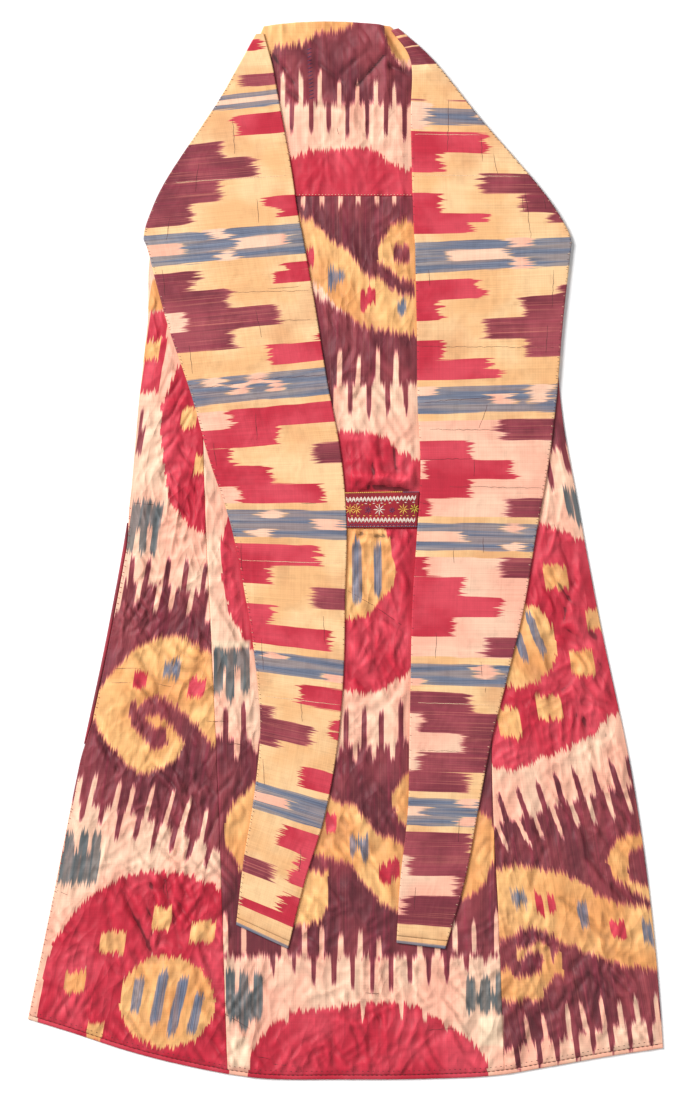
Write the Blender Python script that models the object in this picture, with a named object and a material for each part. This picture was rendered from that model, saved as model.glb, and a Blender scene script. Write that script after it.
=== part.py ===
"""A silk ikat paranja, a long women's robe that hangs from the head, laid flat with its back up.

Its two long empty sleeves are folded over the back, where a small embroidered band links them.
The fronts lie flat underneath, and the back, the sleeves and the band lie on them in layers.

Sizes are in millimetres, and the meshes are made in metres. "Across" runs to the right of the
middle of the back, "down" runs from the top of the robe to its hem, and "height" is up from the
surface that the robe lies on.
"""

import math
from collections import namedtuple

import bmesh
import bpy
import numpy as np

METRES = 0.001

# Cloth and layers
CLOTH = 1.2
SEAM_GAP = 0.3
BODY_SLOT = 0.5
SLEEVE_SLOT = 0.5
BAND_THICKNESS = 2.0

BACK_TOP = CLOTH + BODY_SLOT + CLOTH
SLEEVE_BASE = BACK_TOP + SEAM_GAP
SLEEVE_TOP = SLEEVE_BASE + CLOTH + SLEEVE_SLOT + CLOTH
BAND_BASE = SLEEVE_BASE + 0.4
BAND_BOW = 0.8

# Lengths down the robe
HEM_DOWN = 1406.0
CROSS_SEAM_DOWN = 232.0
HEM_BINDING = 5.7
HEM_CURVE_START = 900.0
CUFF_BINDING = 9.7
TOP_CURVE_END = 90.0
TOP_DROP = 6.0
TOP_DROP_REACH = 1.5

# The under layer: side panels turn under this far, and the fronts leave a gap in the middle
UNDER_REACH = 95.0
FRONT_GAP = 6.0

# The crimson edging that shows past the left fold
EDGING_START = 640.0
EDGING_END = 985.0
EDGING_WIDTH = 5.0
EDGING_TAPER = 60.0
EDGING_LEAST_WIDTH = 1.5
EDGING_THICKNESS = 1.6

# The embroidered band
BAND_DOWN = 625.0
BAND_END_DOWN = 673.0
BAND_END_ACROSS = 99.0

# The body's rows lie closer together between these places, round the band
CLOSE_ROWS_START = 560.0
CLOSE_ROWS_END = 710.0

# Heights of the loose cloth fade out over these distances. Beside a sleeve and below its cuff the
# cloth lies flat for a strip as wide as one cell of the body's grid.
FOLD_FADE = 14.0
EDGE_FADE = 18.0
FLAT_BESIDE_SLEEVE = 20.0
FLAT_BELOW_CUFF = 38.0
FLAT_BESIDE_BAND = 3.0
PUFF = 1.2

# Outline of the body: a row for each section, from the top to the hem
BodySection = namedtuple("BodySection", "down left_edge left_seam right_seam right_edge front_gap")
BODY = [
    BodySection(5, -109, -150, 150, 58, 72),
    BodySection(60, -133, -152, 154, 110, 66),
    BodySection(120, -167, -154, 157, 160, 46),
    BodySection(180, -207, -156, 160, 213, 20),
    BodySection(240, -241, -159, 164, 261, FRONT_GAP),
    BodySection(300, -259, -173, 178, 286, FRONT_GAP),
    BodySection(400, -264, -187, 194, 281, FRONT_GAP),
    BodySection(500, -275, -190, 199, 285, FRONT_GAP),
    BodySection(650, -289, -187, 200, 310, FRONT_GAP),
    BodySection(800, -315, -180, 196, 338, FRONT_GAP),
    BodySection(1000, -357, -171, 194, 380, FRONT_GAP),
    BodySection(1200, -397, -164, 203, 408, FRONT_GAP),
    BodySection(1326, -423, -160, 208, 419, FRONT_GAP),
    BodySection(1406, -439, -157, 211, 424, FRONT_GAP),
]

# How far the hem rises above its lowest point
HemPoint = namedtuple("HemPoint", "across rise")
HEM = [
    HemPoint(-439, 85),
    HemPoint(-367, 63),
    HemPoint(-287, 37),
    HemPoint(-207, 17),
    HemPoint(-128, 3),
    HemPoint(0, 0),
    HemPoint(112, 1),
    HemPoint(205, 6),
    HemPoint(271, 17),
    HemPoint(351, 31),
    HemPoint(424, 42),
]

# Outlines of the sleeves: a row for each section, from the shoulder to the cuff
SleeveSection = namedtuple("SleeveSection", "inner_across inner_down outer_across outer_down")
SLEEVE_LEFT = [
    SleeveSection(-109, 16, -120, 17),
    SleeveSection(-97, 61, -146, 64),
    SleeveSection(-90, 100, -172, 109),
    SleeveSection(-73, 193, -237, 207),
    SleeveSection(-66, 241, -261, 257),
    SleeveSection(-61, 269, -269, 287),
    SleeveSection(-57, 287, -263, 306),
    SleeveSection(-40, 383, -238, 400),
    SleeveSection(-25, 477, -206, 495),
    SleeveSection(-7, 573, -182, 581),
    SleeveSection(1, 669, -154, 666),
    SleeveSection(-1, 766, -135, 757),
    SleeveSection(-3, 864, -121, 849),
    SleeveSection(-11, 960, -114, 938),
    SleeveSection(-28, 1055, -122, 1027),
    SleeveSection(-55, 1144, -136, 1113),
    SleeveSection(-77, 1232, -146, 1200),
]
SLEEVE_RIGHT = [
    SleeveSection(60, 12, 70, 9),
    SleeveSection(86, 53, 116, 51),
    SleeveSection(86, 125, 178, 128),
    SleeveSection(88, 219, 258, 221),
    SleeveSection(90, 275, 291, 270),
    SleeveSection(92, 301, 300, 294),
    SleeveSection(92, 314, 299, 303),
    SleeveSection(94, 410, 288, 403),
    SleeveSection(95, 504, 280, 500),
    SleeveSection(99, 596, 268, 596),
    SleeveSection(94, 684, 252, 686),
    SleeveSection(88, 775, 237, 777),
    SleeveSection(86, 867, 215, 870),
    SleeveSection(84, 959, 192, 962),
    SleeveSection(82, 1049, 175, 1052),
    SleeveSection(72, 1141, 158, 1142),
    SleeveSection(67, 1224, 132, 1232),
]

# The largest folds of the body's cloth, each a ridge along a straight line
Fold = namedtuple("Fold", "across down to_across to_down width height")
BODY_FOLDS = [
    Fold(-72, 42, -52, 108, 12, 2.6),
    Fold(-22, 62, 30, 30, 15, 2.8),
    Fold(-8, 108, 14, 150, 11, 1.8),
    Fold(56, 52, 50, 106, 8, 3.6),
    Fold(45, 8, 53, 34, 7, 5.5),
    Fold(53, 34, 70, 56, 7, 5.0),
    Fold(-20, 260, 20, 330, 14, 1.8),
    Fold(40, 350, 70, 450, 13, 2.0),
    Fold(30, 480, 36, 560, 10, 2.2),
    Fold(34, 570, 46, 604, 6, 3.2),
    Fold(10, 604, 84, 610, 8, 7.0),
    Fold(8, 690, 54, 694, 7, 2.6),
    Fold(66, 690, 84, 770, 8, 2.6),
    Fold(26, 850, 62, 930, 12, 2.2),
    Fold(10, 1060, 48, 1150, 13, 2.4),
    Fold(-110, 1150, -122, 1240, 14, 2.2),
    Fold(-70, 1260, -10, 1330, 16, 2.4),
    Fold(60, 1250, 130, 1320, 16, 2.6),
    Fold(158, 1160, 168, 1260, 12, 2.2),
    Fold(-226, 690, -200, 740, 11, 2.4),
    Fold(-262, 770, -284, 880, 12, 2.6),
    Fold(-300, 850, -254, 900, 12, 2.2),
    Fold(-206, 830, -184, 920, 11, 2.6),
    Fold(-314, 990, -250, 1050, 14, 2.6),
    Fold(-236, 1000, -210, 1110, 12, 2.8),
    Fold(-340, 1110, -280, 1220, 15, 2.6),
    Fold(-222, 1180, -192, 1290, 13, 2.6),
    Fold(-380, 1200, -350, 1290, 13, 2.0),
    Fold(282, 720, 304, 790, 10, 2.6),
    Fold(250, 770, 262, 850, 10, 2.2),
    Fold(288, 892, 320, 862, 11, 2.6),
    Fold(320, 862, 346, 892, 11, 2.4),
    Fold(240, 900, 222, 985, 12, 2.4),
    Fold(336, 985, 380, 1075, 13, 2.6),
    Fold(236, 1060, 280, 1160, 14, 2.8),
    Fold(330, 1130, 372, 1230, 14, 2.6),
    Fold(246, 1250, 330, 1310, 15, 2.6),
]

# Folds of the sleeves' upper walls, where the right shoulder is gathered
SLEEVE_FOLDS = [
    Fold(74, 20, 104, 40, 9, 4.6),
    Fold(112, 62, 140, 70, 9, 2.4),
    Fold(-150, 84, -118, 120, 14, 1.4),
    Fold(-80, 300, -200, 318, 16, 1.0),
    Fold(120, 700, 200, 712, 14, 0.9),
]

# Colours of the cloths, in linear red, green and blue
SILK_GOLD = (0.78, 0.45, 0.13)
SILK_ROSE = (0.80, 0.40, 0.28)
SILK_CRIMSON = (0.55, 0.04, 0.08)
SILK_MAROON = (0.14, 0.03, 0.05)
LINING = (0.42, 0.12, 0.10)
BINDING_BLUE = (0.07, 0.10, 0.16)
SHARP_DEGREES = 50


def smooth(stations, values, at):
    """A smooth curve through the values at the stations, read at the given places."""
    stations = np.asarray(stations, float)
    values = np.asarray(values, float)
    at = np.clip(np.asarray(at, float), stations[0], stations[-1])
    slopes = np.gradient(values, stations)
    index = np.clip(np.searchsorted(stations, at) - 1, 0, len(stations) - 2)
    span = stations[index + 1] - stations[index]
    part = (at - stations[index]) / span
    start = (1 + 2 * part) * (1 - part) ** 2 * values[index]
    start_slope = part * (1 - part) ** 2 * slopes[index] * span
    end = part ** 2 * (3 - 2 * part) * values[index + 1]
    end_slope = part ** 2 * (part - 1) * slopes[index + 1] * span
    return start + start_slope + end + end_slope


def ease(value):
    """Rises softly from 0 to 1 as the value does."""
    value = np.clip(value, 0.0, 1.0)
    return value * value * (3.0 - 2.0 * value)


def body_line(column, down):
    """Where a line of the body's outline lies across, at the given places down."""
    return smooth([row.down for row in BODY], [getattr(row, column) for row in BODY], down)


def edging_width(down):
    """The width of the crimson edging, which tapers at both ends."""
    taper_in = ease((down - EDGING_START) / EDGING_TAPER)
    return EDGING_WIDTH * taper_in * ease((EDGING_END - down) / EDGING_TAPER)


def left_fold(down):
    """The left fold lies inside the edging."""
    return body_line("left_edge", down) + edging_width(down)


def right_fold(down):
    return body_line("right_edge", down)


def placed_down(station, across):
    """The place down of a point on a row: rows bend to the curves of the top and of the hem."""
    rise = smooth([point.across for point in HEM], [point.rise for point in HEM], across)
    middle = (BODY[0].left_edge + BODY[0].right_edge) / 2
    half = (BODY[0].right_edge - BODY[0].left_edge) / 2
    top_drop = np.minimum(((np.asarray(across) - middle) / half) ** 2, TOP_DROP_REACH) * TOP_DROP
    at_hem = ease((station - HEM_CURVE_START) / (HEM_DOWN - HEM_CURVE_START))
    at_top = 1.0 - ease(station / TOP_CURVE_END)
    return station - rise * at_hem + top_drop * at_top


def line_on_row(line, station):
    """Where a line of the body crosses a row, which lies a little higher at its ends."""
    across = line(station)
    for _ in range(4):
        across = line(placed_down(station, across))
    return float(across)


def sleeve_span(sections, down):
    """The sleeve's left and right limits across, at the given places down."""
    inner = smooth([row.inner_down for row in sections], [row.inner_across for row in sections], down)
    outer = smooth([row.outer_down for row in sections], [row.outer_across for row in sections], down)
    return np.minimum(inner, outer), np.maximum(inner, outer)


def clear_of_sleeves(across, down):
    """How far a point of the body lies outside the flat strips round the sleeves."""
    nearest = np.full(np.shape(across), HEM_DOWN)
    for sections in (SLEEVE_LEFT, SLEEVE_RIGHT):
        left, right = sleeve_span(sections, down)
        end = max(sections[-1].inner_down, sections[-1].outer_down)
        sideways = np.maximum(left - across, across - right) - FLAT_BESIDE_SLEEVE
        lengthways = down - end - FLAT_BELOW_CUFF
        nearest = np.minimum(nearest, np.hypot(np.maximum(sideways, 0.0), np.maximum(lengthways, 0.0)))
    return nearest


def clear_of_band(across, down):
    """How far a point of the body lies from the embroidered band."""
    sideways = np.maximum(np.maximum(-across, across - BAND_END_ACROSS), 0.0)
    lengthways = np.maximum(np.maximum(BAND_DOWN - down, down - BAND_END_DOWN), 0.0)
    return np.hypot(sideways, lengthways)


def ridges(folds, across, down):
    """The summed height of the folds at the given points."""
    height = np.zeros(np.shape(across))
    for fold in folds:
        run_across = fold.to_across - fold.across
        run_down = fold.to_down - fold.down
        length = math.hypot(run_across, run_down)
        along = ((across - fold.across) * run_across + (down - fold.down) * run_down) / length
        aside = ((across - fold.across) * run_down - (down - fold.down) * run_across) / length
        beyond = np.maximum(np.maximum(-along, along - length), 0.0)
        reach = np.hypot(aside / fold.width, beyond / (1.5 * fold.width))
        height = height + fold.height * np.exp(-reach ** 2)
    return height


def body_relief(across, down):
    """How far the back's cloth stands above its flat lie: none under the sleeves or at the edges."""
    inside = np.minimum(across - left_fold(down), right_fold(down) - across)
    hem = HEM_DOWN - smooth([point.across for point in HEM], [point.rise for point in HEM], across) - down
    fade = ease(clear_of_sleeves(across, down) / FOLD_FADE)
    fade = fade * ease(inside / EDGE_FADE) * ease(hem / EDGE_FADE)
    fade = fade * ease((clear_of_band(across, down) - FLAT_BESIDE_BAND) / (2 * FLAT_BESIDE_BAND))
    return (PUFF + ridges(BODY_FOLDS, across, down)) * fade


def add_solid(name, outer, inner, colour, closed=False):
    """A wall between two grids of points; a closed one joins its last column to its first."""
    rows, columns = outer.shape[:2]
    mesh = bpy.data.meshes.new(name)
    form = bmesh.new()
    sides = []
    for grid in (outer, inner):
        points = grid.reshape(-1, 3) * METRES
        sides.append([form.verts.new(point) for point in points])
    outside, inside = sides

    def at(row, column):
        return row * columns + column % columns

    for row in range(rows - 1):
        for column in range(columns if closed else columns - 1):
            corners = (at(row, column), at(row, column + 1), at(row + 1, column + 1), at(row + 1, column))
            form.faces.new([outside[corner] for corner in corners])
            form.faces.new([inside[corner] for corner in reversed(corners)])
    for row in (0, rows - 1):
        for column in range(columns if closed else columns - 1):
            first, second = at(row, column), at(row, column + 1)
            form.faces.new([outside[first], outside[second], inside[second], inside[first]])
    if not closed:
        for column in (0, columns - 1):
            for row in range(rows - 1):
                first, second = at(row, column), at(row + 1, column)
                form.faces.new([outside[first], outside[second], inside[second], inside[first]])
    bmesh.ops.triangulate(form, faces=form.faces)
    bmesh.ops.recalc_face_normals(form, faces=form.faces)
    form.to_mesh(mesh)
    form.free()
    mesh.shade_smooth()
    mesh.set_sharp_from_angle(angle=math.radians(SHARP_DEGREES))
    mesh.materials.append(cloth_material(name, colour))
    solid = bpy.data.objects.new(name, mesh)
    bpy.context.scene.collection.objects.link(solid)
    return solid


def cloth_material(name, colour):
    """Plain dyed silk."""
    material = bpy.data.materials.new(name + "_silk")
    material.use_nodes = True
    surface = material.node_tree.nodes["Principled BSDF"]
    surface.inputs["Base Color"].default_value = (*colour, 1.0)
    surface.inputs["Roughness"].default_value = 0.55
    surface.inputs["Metallic"].default_value = 0.0
    return material


# A section of the body is drawn as a walk across it: stretches of the under and the back layer, and
# the turned folds between them. Each point of the walk has its outer and its inner place.
Walk = namedtuple("Walk", "outer_across outer_height inner_across inner_height loose")
FOLD_RADIUS = BACK_TOP / 2
FOLD_INNER_RADIUS = BODY_SLOT / 2
UPPER_FRONT_LEAST = 6.0
FOLD_STEPS = 4
UPPER_STEPS = 24
UPPER_FRONT_STEPS = 4
CENTRE_STEPS = 20
SIDE_STEPS = 9
UNDER_STEPS = 2
FRONT_STEPS = 3
UPPER_ROWS = 16
ROWS_ABOVE_BAND = 11
ROWS_AT_BAND = 12
ROWS_BELOW_BAND = 21
SLEEVE_ROWS = 34
SLEEVE_UPPER_STEPS = 9
SLEEVE_LOWER_STEPS = 3
BAND_ROWS = 5
BAND_COLUMNS = 13


def under_stretch(start, end, steps):
    """Flat cloth on the surface."""
    across = np.linspace(start, end, steps + 1)
    ones = np.ones(steps + 1)
    return Walk(across, 0 * ones, across, CLOTH * ones, 0 * ones)


def back_stretch(start, end, steps):
    """The back's cloth, which the folds can lift."""
    across = np.linspace(start, end, steps + 1)
    ones = np.ones(steps + 1)
    return Walk(across, BACK_TOP * ones, across, (BACK_TOP - CLOTH) * ones, ones)


def turned_fold(centre, side, upward):
    """The round of a folded edge, without the end points that the stretches beside it have."""
    angles = np.linspace(-math.pi / 2, math.pi / 2, FOLD_STEPS + 1)[1:-1]
    if not upward:
        angles = angles[::-1]
    out, rise = np.cos(angles), np.sin(angles)
    return Walk(
        centre + side * FOLD_RADIUS * out,
        FOLD_RADIUS + FOLD_RADIUS * rise,
        centre + side * FOLD_INNER_RADIUS * out,
        FOLD_RADIUS + FOLD_INNER_RADIUS * rise,
        0 * angles,
    )


def body_rows(stations, section):
    """Outer and inner grids from the walk across the body at each station."""
    outer, inner = [], []
    for station in stations:
        walks = section(station)
        joined = Walk(*(np.concatenate(parts) for parts in zip(*walks)))
        down = placed_down(station, joined.outer_across)
        lift = body_relief(joined.outer_across, down) * joined.loose
        outer.append(np.stack([joined.outer_across, -down, joined.outer_height + lift], axis=1))
        inner.append(np.stack([joined.inner_across, -down, joined.inner_height + lift], axis=1))
    return np.array(outer), np.array(inner)


def middle_front(down):
    """The middle of the front, where the two fronts part."""
    return (body_line("left_edge", down) + body_line("right_edge", down)) / 2


def lines_at(station):
    """Where the folds, the seams and the fronts' edges cross a row."""
    left = line_on_row(left_fold, station) + FOLD_RADIUS
    right = line_on_row(right_fold, station) - FOLD_RADIUS
    left_seam = line_on_row(lambda down: body_line("left_seam", down), station)
    right_seam = line_on_row(lambda down: body_line("right_seam", down), station)
    middle = line_on_row(middle_front, station)
    gap = float(body_line("front_gap", station))
    return left, right, left_seam, right_seam, middle - gap, middle + gap


def upper_section(station):
    """The yoke: back, both shoulders and the tops of the fronts, in one piece."""
    left, right, _, _, front_left, front_right = lines_at(station)
    front_left = max(front_left, left + UPPER_FRONT_LEAST)
    front_right = min(front_right, right - UPPER_FRONT_LEAST)
    return [
        under_stretch(front_left, left, UPPER_FRONT_STEPS),
        turned_fold(left, -1, True),
        back_stretch(left, right, UPPER_STEPS),
        turned_fold(right, 1, False),
        under_stretch(right, front_right, UPPER_FRONT_STEPS),
    ]


def centre_section(station):
    _, _, left_seam, right_seam, _, _ = lines_at(station)
    return [back_stretch(left_seam + SEAM_GAP / 2, right_seam - SEAM_GAP / 2, CENTRE_STEPS)]


def side_left_section(station):
    left, _, left_seam, _, _, _ = lines_at(station)
    return [
        under_stretch(left + UNDER_REACH, left, UNDER_STEPS),
        turned_fold(left, -1, True),
        back_stretch(left, left_seam - SEAM_GAP / 2, SIDE_STEPS),
    ]


def side_right_section(station):
    _, right, _, right_seam, _, _ = lines_at(station)
    return [
        back_stretch(right_seam + SEAM_GAP / 2, right, SIDE_STEPS),
        turned_fold(right, 1, False),
        under_stretch(right, right - UNDER_REACH, UNDER_STEPS),
    ]


def front_left_section(station):
    left, _, _, _, front_left, _ = lines_at(station)
    return [under_stretch(left + UNDER_REACH + SEAM_GAP, front_left, FRONT_STEPS)]


def front_right_section(station):
    _, right, _, _, _, front_right = lines_at(station)
    return [under_stretch(front_right, right - UNDER_REACH - SEAM_GAP, FRONT_STEPS)]


def hem_section(station):
    """The narrow binding of the whole hem, from front edge to front edge round both folds."""
    left, right, left_seam, right_seam, front_left, front_right = lines_at(station)
    under_left = under_stretch(left + UNDER_REACH, front_left, FRONT_STEPS)
    under_right = under_stretch(right - UNDER_REACH, front_right, FRONT_STEPS)
    return [
        Walk(*(part[:0:-1] for part in under_left)),
        under_stretch(left + UNDER_REACH, left, UNDER_STEPS),
        turned_fold(left, -1, True),
        back_stretch(left, left_seam, SIDE_STEPS),
        Walk(*(part[1:] for part in back_stretch(left_seam, right_seam, CENTRE_STEPS))),
        Walk(*(part[1:] for part in back_stretch(right_seam, right, SIDE_STEPS))),
        turned_fold(right, 1, False),
        under_stretch(right, right - UNDER_REACH, UNDER_STEPS),
        Walk(*(part[1:] for part in under_right)),
    ]


def add_body():
    """The panels of the robe's body, and its hem."""
    seam_start = CROSS_SEAM_DOWN + SEAM_GAP / 2
    hem_end = HEM_DOWN - HEM_BINDING - SEAM_GAP
    upper = np.linspace(0.0, CROSS_SEAM_DOWN - SEAM_GAP / 2, UPPER_ROWS)
    above_band = np.linspace(seam_start, CLOSE_ROWS_START, ROWS_ABOVE_BAND)
    at_band = np.linspace(CLOSE_ROWS_START, CLOSE_ROWS_END, ROWS_AT_BAND)[1:]
    below_band = np.linspace(CLOSE_ROWS_END, hem_end, ROWS_BELOW_BAND)[1:]
    lower = np.concatenate([above_band, at_band, below_band])
    hem = np.array([HEM_DOWN - HEM_BINDING, HEM_DOWN])
    add_solid("back_upper", *body_rows(upper, upper_section), SILK_MAROON)
    add_solid("back_centre", *body_rows(lower, centre_section), SILK_CRIMSON)
    add_solid("side_left", *body_rows(lower, side_left_section), SILK_GOLD)
    add_solid("side_right", *body_rows(lower, side_right_section), SILK_ROSE)
    add_solid("front_left", *body_rows(lower, front_left_section), LINING)
    add_solid("front_right", *body_rows(lower, front_right_section), LINING)
    add_solid("hem_binding", *body_rows(hem, hem_section), SILK_CRIMSON)
    add_edging(lower)


def add_edging(stations):
    """The crimson edging past the left fold: a thin flat strip on the side panel's own rows."""
    outer, inner = [], []
    for station in stations:
        fold = line_on_row(left_fold, station)
        down = float(placed_down(station, fold))
        width = float(edging_width(down)) - SEAM_GAP
        if width < EDGING_LEAST_WIDTH:
            continue
        inside = fold - SEAM_GAP
        outer.append([(inside, -down, EDGING_THICKNESS), (inside - width, -down, EDGING_THICKNESS)])
        inner.append([(inside, -down, 0.0), (inside - width, -down, 0.0)])
    add_solid("side_edging_left", np.array(outer), np.array(inner), SILK_CRIMSON)


def sleeve_ends(sections, rows):
    """Points along the sleeve's inner and outer edges."""
    index = np.arange(len(sections), dtype=float)
    at = np.linspace(0, len(sections) - 1, rows)
    inner = np.stack([smooth(index, [row.inner_across for row in sections], at),
                      smooth(index, [row.inner_down for row in sections], at)], axis=1)
    outer = np.stack([smooth(index, [row.outer_across for row in sections], at),
                      smooth(index, [row.outer_down for row in sections], at)], axis=1)
    return inner, outer


def flat_tube_row(inner_edge, outer_edge):
    """One ring of a flattened sleeve: outside and inside points, from the inner edge round."""
    half = (SLEEVE_TOP - SLEEVE_BASE) / 2
    slot = SLEEVE_SLOT / 2
    middle_height = SLEEVE_BASE + half
    width = float(np.hypot(*(outer_edge - inner_edge)))
    direction = (outer_edge - inner_edge) / width
    rings = []
    for radius in (half, slot):
        upper = np.linspace(half, width - half, SLEEVE_UPPER_STEPS + 1)
        lower = np.linspace(width - half, half, SLEEVE_LOWER_STEPS + 1)
        angles = np.linspace(math.pi / 2, -math.pi / 2, FOLD_STEPS + 1)[1:-1]
        far = width - half + radius * np.cos(angles)
        near = half - radius * np.cos(angles)
        along = np.concatenate([upper, far, lower, near])
        height = np.concatenate([
            np.full(SLEEVE_UPPER_STEPS + 1, radius), radius * np.sin(angles),
            np.full(SLEEVE_LOWER_STEPS + 1, -radius), -radius * np.sin(angles),
        ])
        across = inner_edge[0] + along * direction[0]
        down = inner_edge[1] + along * direction[1]
        from_edges = np.minimum(along, width - along)
        lift = ridges(SLEEVE_FOLDS, across, down) * ease(from_edges / FOLD_FADE) * (height > 0)
        rings.append(np.stack([across, -down, middle_height + height + lift], axis=1))
    return rings


def sleeve_grid(inner_edges, outer_edges):
    """Outer and inner grids of a stretch of sleeve."""
    rings = [flat_tube_row(inner, outer) for inner, outer in zip(inner_edges, outer_edges)]
    return np.array([ring[0] for ring in rings]), np.array([ring[1] for ring in rings])


def add_sleeve(side, sections, colour):
    """A long false sleeve and the binding of its cuff."""
    inner, outer = sleeve_ends(sections, SLEEVE_ROWS)
    ends = []
    for edge in (inner, outer):
        last = edge[-1] - edge[-2]
        back = last / np.hypot(*last)
        ends.append((edge[-1] - back * (CUFF_BINDING + SEAM_GAP), edge[-1] - back * CUFF_BINDING))
    cloth_inner = np.vstack([inner[:-1], ends[0][0]])
    cloth_outer = np.vstack([outer[:-1], ends[1][0]])
    binding_inner = np.vstack([ends[0][1], inner[-1]])
    binding_outer = np.vstack([ends[1][1], outer[-1]])
    add_solid("sleeve_" + side, *sleeve_grid(cloth_inner, cloth_outer), colour, closed=True)
    add_solid("cuff_binding_" + side, *sleeve_grid(binding_inner, binding_outer), BINDING_BLUE, closed=True)


def add_band():
    """The embroidered band, sewn at its ends to the inner edges of the sleeves."""
    outer = np.zeros((BAND_ROWS, BAND_COLUMNS, 3))
    inner = np.zeros((BAND_ROWS, BAND_COLUMNS, 3))
    for row, down in enumerate(np.linspace(BAND_DOWN, BAND_END_DOWN, BAND_ROWS)):
        start = float(sleeve_span(SLEEVE_LEFT, down)[1]) + SEAM_GAP
        end = float(sleeve_span(SLEEVE_RIGHT, down)[0]) - SEAM_GAP
        for column, part in enumerate(np.linspace(0.0, 1.0, BAND_COLUMNS)):
            across = start + (end - start) * part
            bow = BAND_BOW * math.sin(math.pi * part)
            outer[row, column] = (across, -down, BAND_BASE + BAND_THICKNESS + bow)
            inner[row, column] = (across, -down, BAND_BASE + bow)
    add_solid("link_band", outer, inner, SILK_CRIMSON)


def centre_the_robe():
    """Puts the origin under the middle of the robe's bounding box."""
    solids = list(bpy.context.scene.collection.objects)
    points = np.array([vertex.co for solid in solids for vertex in solid.data.vertices])
    low, high = points.min(axis=0), points.max(axis=0)
    shift = np.array([(low[0] + high[0]) / 2, (low[1] + high[1]) / 2, low[2]])
    for solid in solids:
        for vertex in solid.data.vertices:
            vertex.co = np.array(vertex.co) - shift


def build():
    for old in list(bpy.data.objects):
        bpy.data.objects.remove(old, do_unlink=True)
    add_body()
    add_sleeve("left", SLEEVE_LEFT, SILK_GOLD)
    add_sleeve("right", SLEEVE_RIGHT, SILK_ROSE)
    add_band()
    centre_the_robe()


build()
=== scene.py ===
"""The looks of a silk ikat paranja that lies flat with its back up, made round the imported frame.

Every cloth is a thin shell on the form of its solid. Places are in millimetres as in the part's
source: "across" runs to the right of the middle of the back, "down" from the top of the robe to its
hem, and heights go up from the surface that the robe lies on. The meshes are made in metres.
"""

import math
from collections import namedtuple

import bpy
import numpy as np
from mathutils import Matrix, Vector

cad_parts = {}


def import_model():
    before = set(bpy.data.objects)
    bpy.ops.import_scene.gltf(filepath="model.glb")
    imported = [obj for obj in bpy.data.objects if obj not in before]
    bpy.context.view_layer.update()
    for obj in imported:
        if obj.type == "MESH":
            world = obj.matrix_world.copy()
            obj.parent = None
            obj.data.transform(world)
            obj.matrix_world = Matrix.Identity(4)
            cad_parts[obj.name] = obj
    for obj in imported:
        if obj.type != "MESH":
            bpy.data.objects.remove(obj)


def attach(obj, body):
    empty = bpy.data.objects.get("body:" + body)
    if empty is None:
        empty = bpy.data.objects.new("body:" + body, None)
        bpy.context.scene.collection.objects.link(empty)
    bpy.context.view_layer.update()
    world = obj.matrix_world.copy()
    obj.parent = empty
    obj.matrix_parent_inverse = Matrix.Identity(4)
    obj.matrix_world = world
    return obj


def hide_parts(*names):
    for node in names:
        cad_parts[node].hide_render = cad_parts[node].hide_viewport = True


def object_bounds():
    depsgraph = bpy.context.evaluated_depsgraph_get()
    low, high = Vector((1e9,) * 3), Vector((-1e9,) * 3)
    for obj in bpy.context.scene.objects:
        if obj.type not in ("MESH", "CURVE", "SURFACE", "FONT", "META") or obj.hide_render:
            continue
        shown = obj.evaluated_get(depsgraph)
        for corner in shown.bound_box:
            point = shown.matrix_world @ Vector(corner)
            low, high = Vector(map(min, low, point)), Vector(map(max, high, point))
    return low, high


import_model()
SOLID_LOW, SOLID_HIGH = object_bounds()

METRES = 0.001

# The photograph's frame: the real size of one of its pixels, and the pixels of its middle and of the
# robe's own zero point
PICTURE_WIDTH = 690
PICTURE_HEIGHT = 1100
PIXEL = 1.33
ZERO_PIXEL_X = 346
ZERO_PIXEL_Y = 22

# Cloth and layers, as in the solids
CLOTH = 1.2
SEAM_GAP = 0.3
BODY_SLOT = 0.5
SLEEVE_SLOT = 0.5
BACK_TOP = CLOTH + BODY_SLOT + CLOTH
SLEEVE_BASE = BACK_TOP + SEAM_GAP
SLEEVE_TOP = SLEEVE_BASE + CLOTH + SLEEVE_SLOT + CLOTH
BAND_BASE = SLEEVE_BASE + 0.4
BAND_THICKNESS = 2.0
BAND_BOW = 0.8

HEM_DOWN = 1406.0
CROSS_SEAM_DOWN = 232.0
HEM_BINDING = 5.7
HEM_CURVE_START = 900.0
CUFF_BINDING = 9.7
TOP_CURVE_END = 90.0
TOP_DROP = 6.0
UNDER_REACH = 95.0
FRONT_GAP = 6.0

EDGING_START = 640.0
EDGING_END = 985.0
EDGING_WIDTH = 5.0
EDGING_LEAST_WIDTH = 1.5
EDGING_TAPER = 60.0
EDGING_THICKNESS = 1.6

BAND_DOWN = 625.0
BAND_END_DOWN = 673.0

FOLD_FADE = 14.0
EDGE_FADE = 18.0
PUFF = 2.8
FOLD_RADIUS = BACK_TOP / 2
FOLD_INNER_RADIUS = BODY_SLOT / 2

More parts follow.
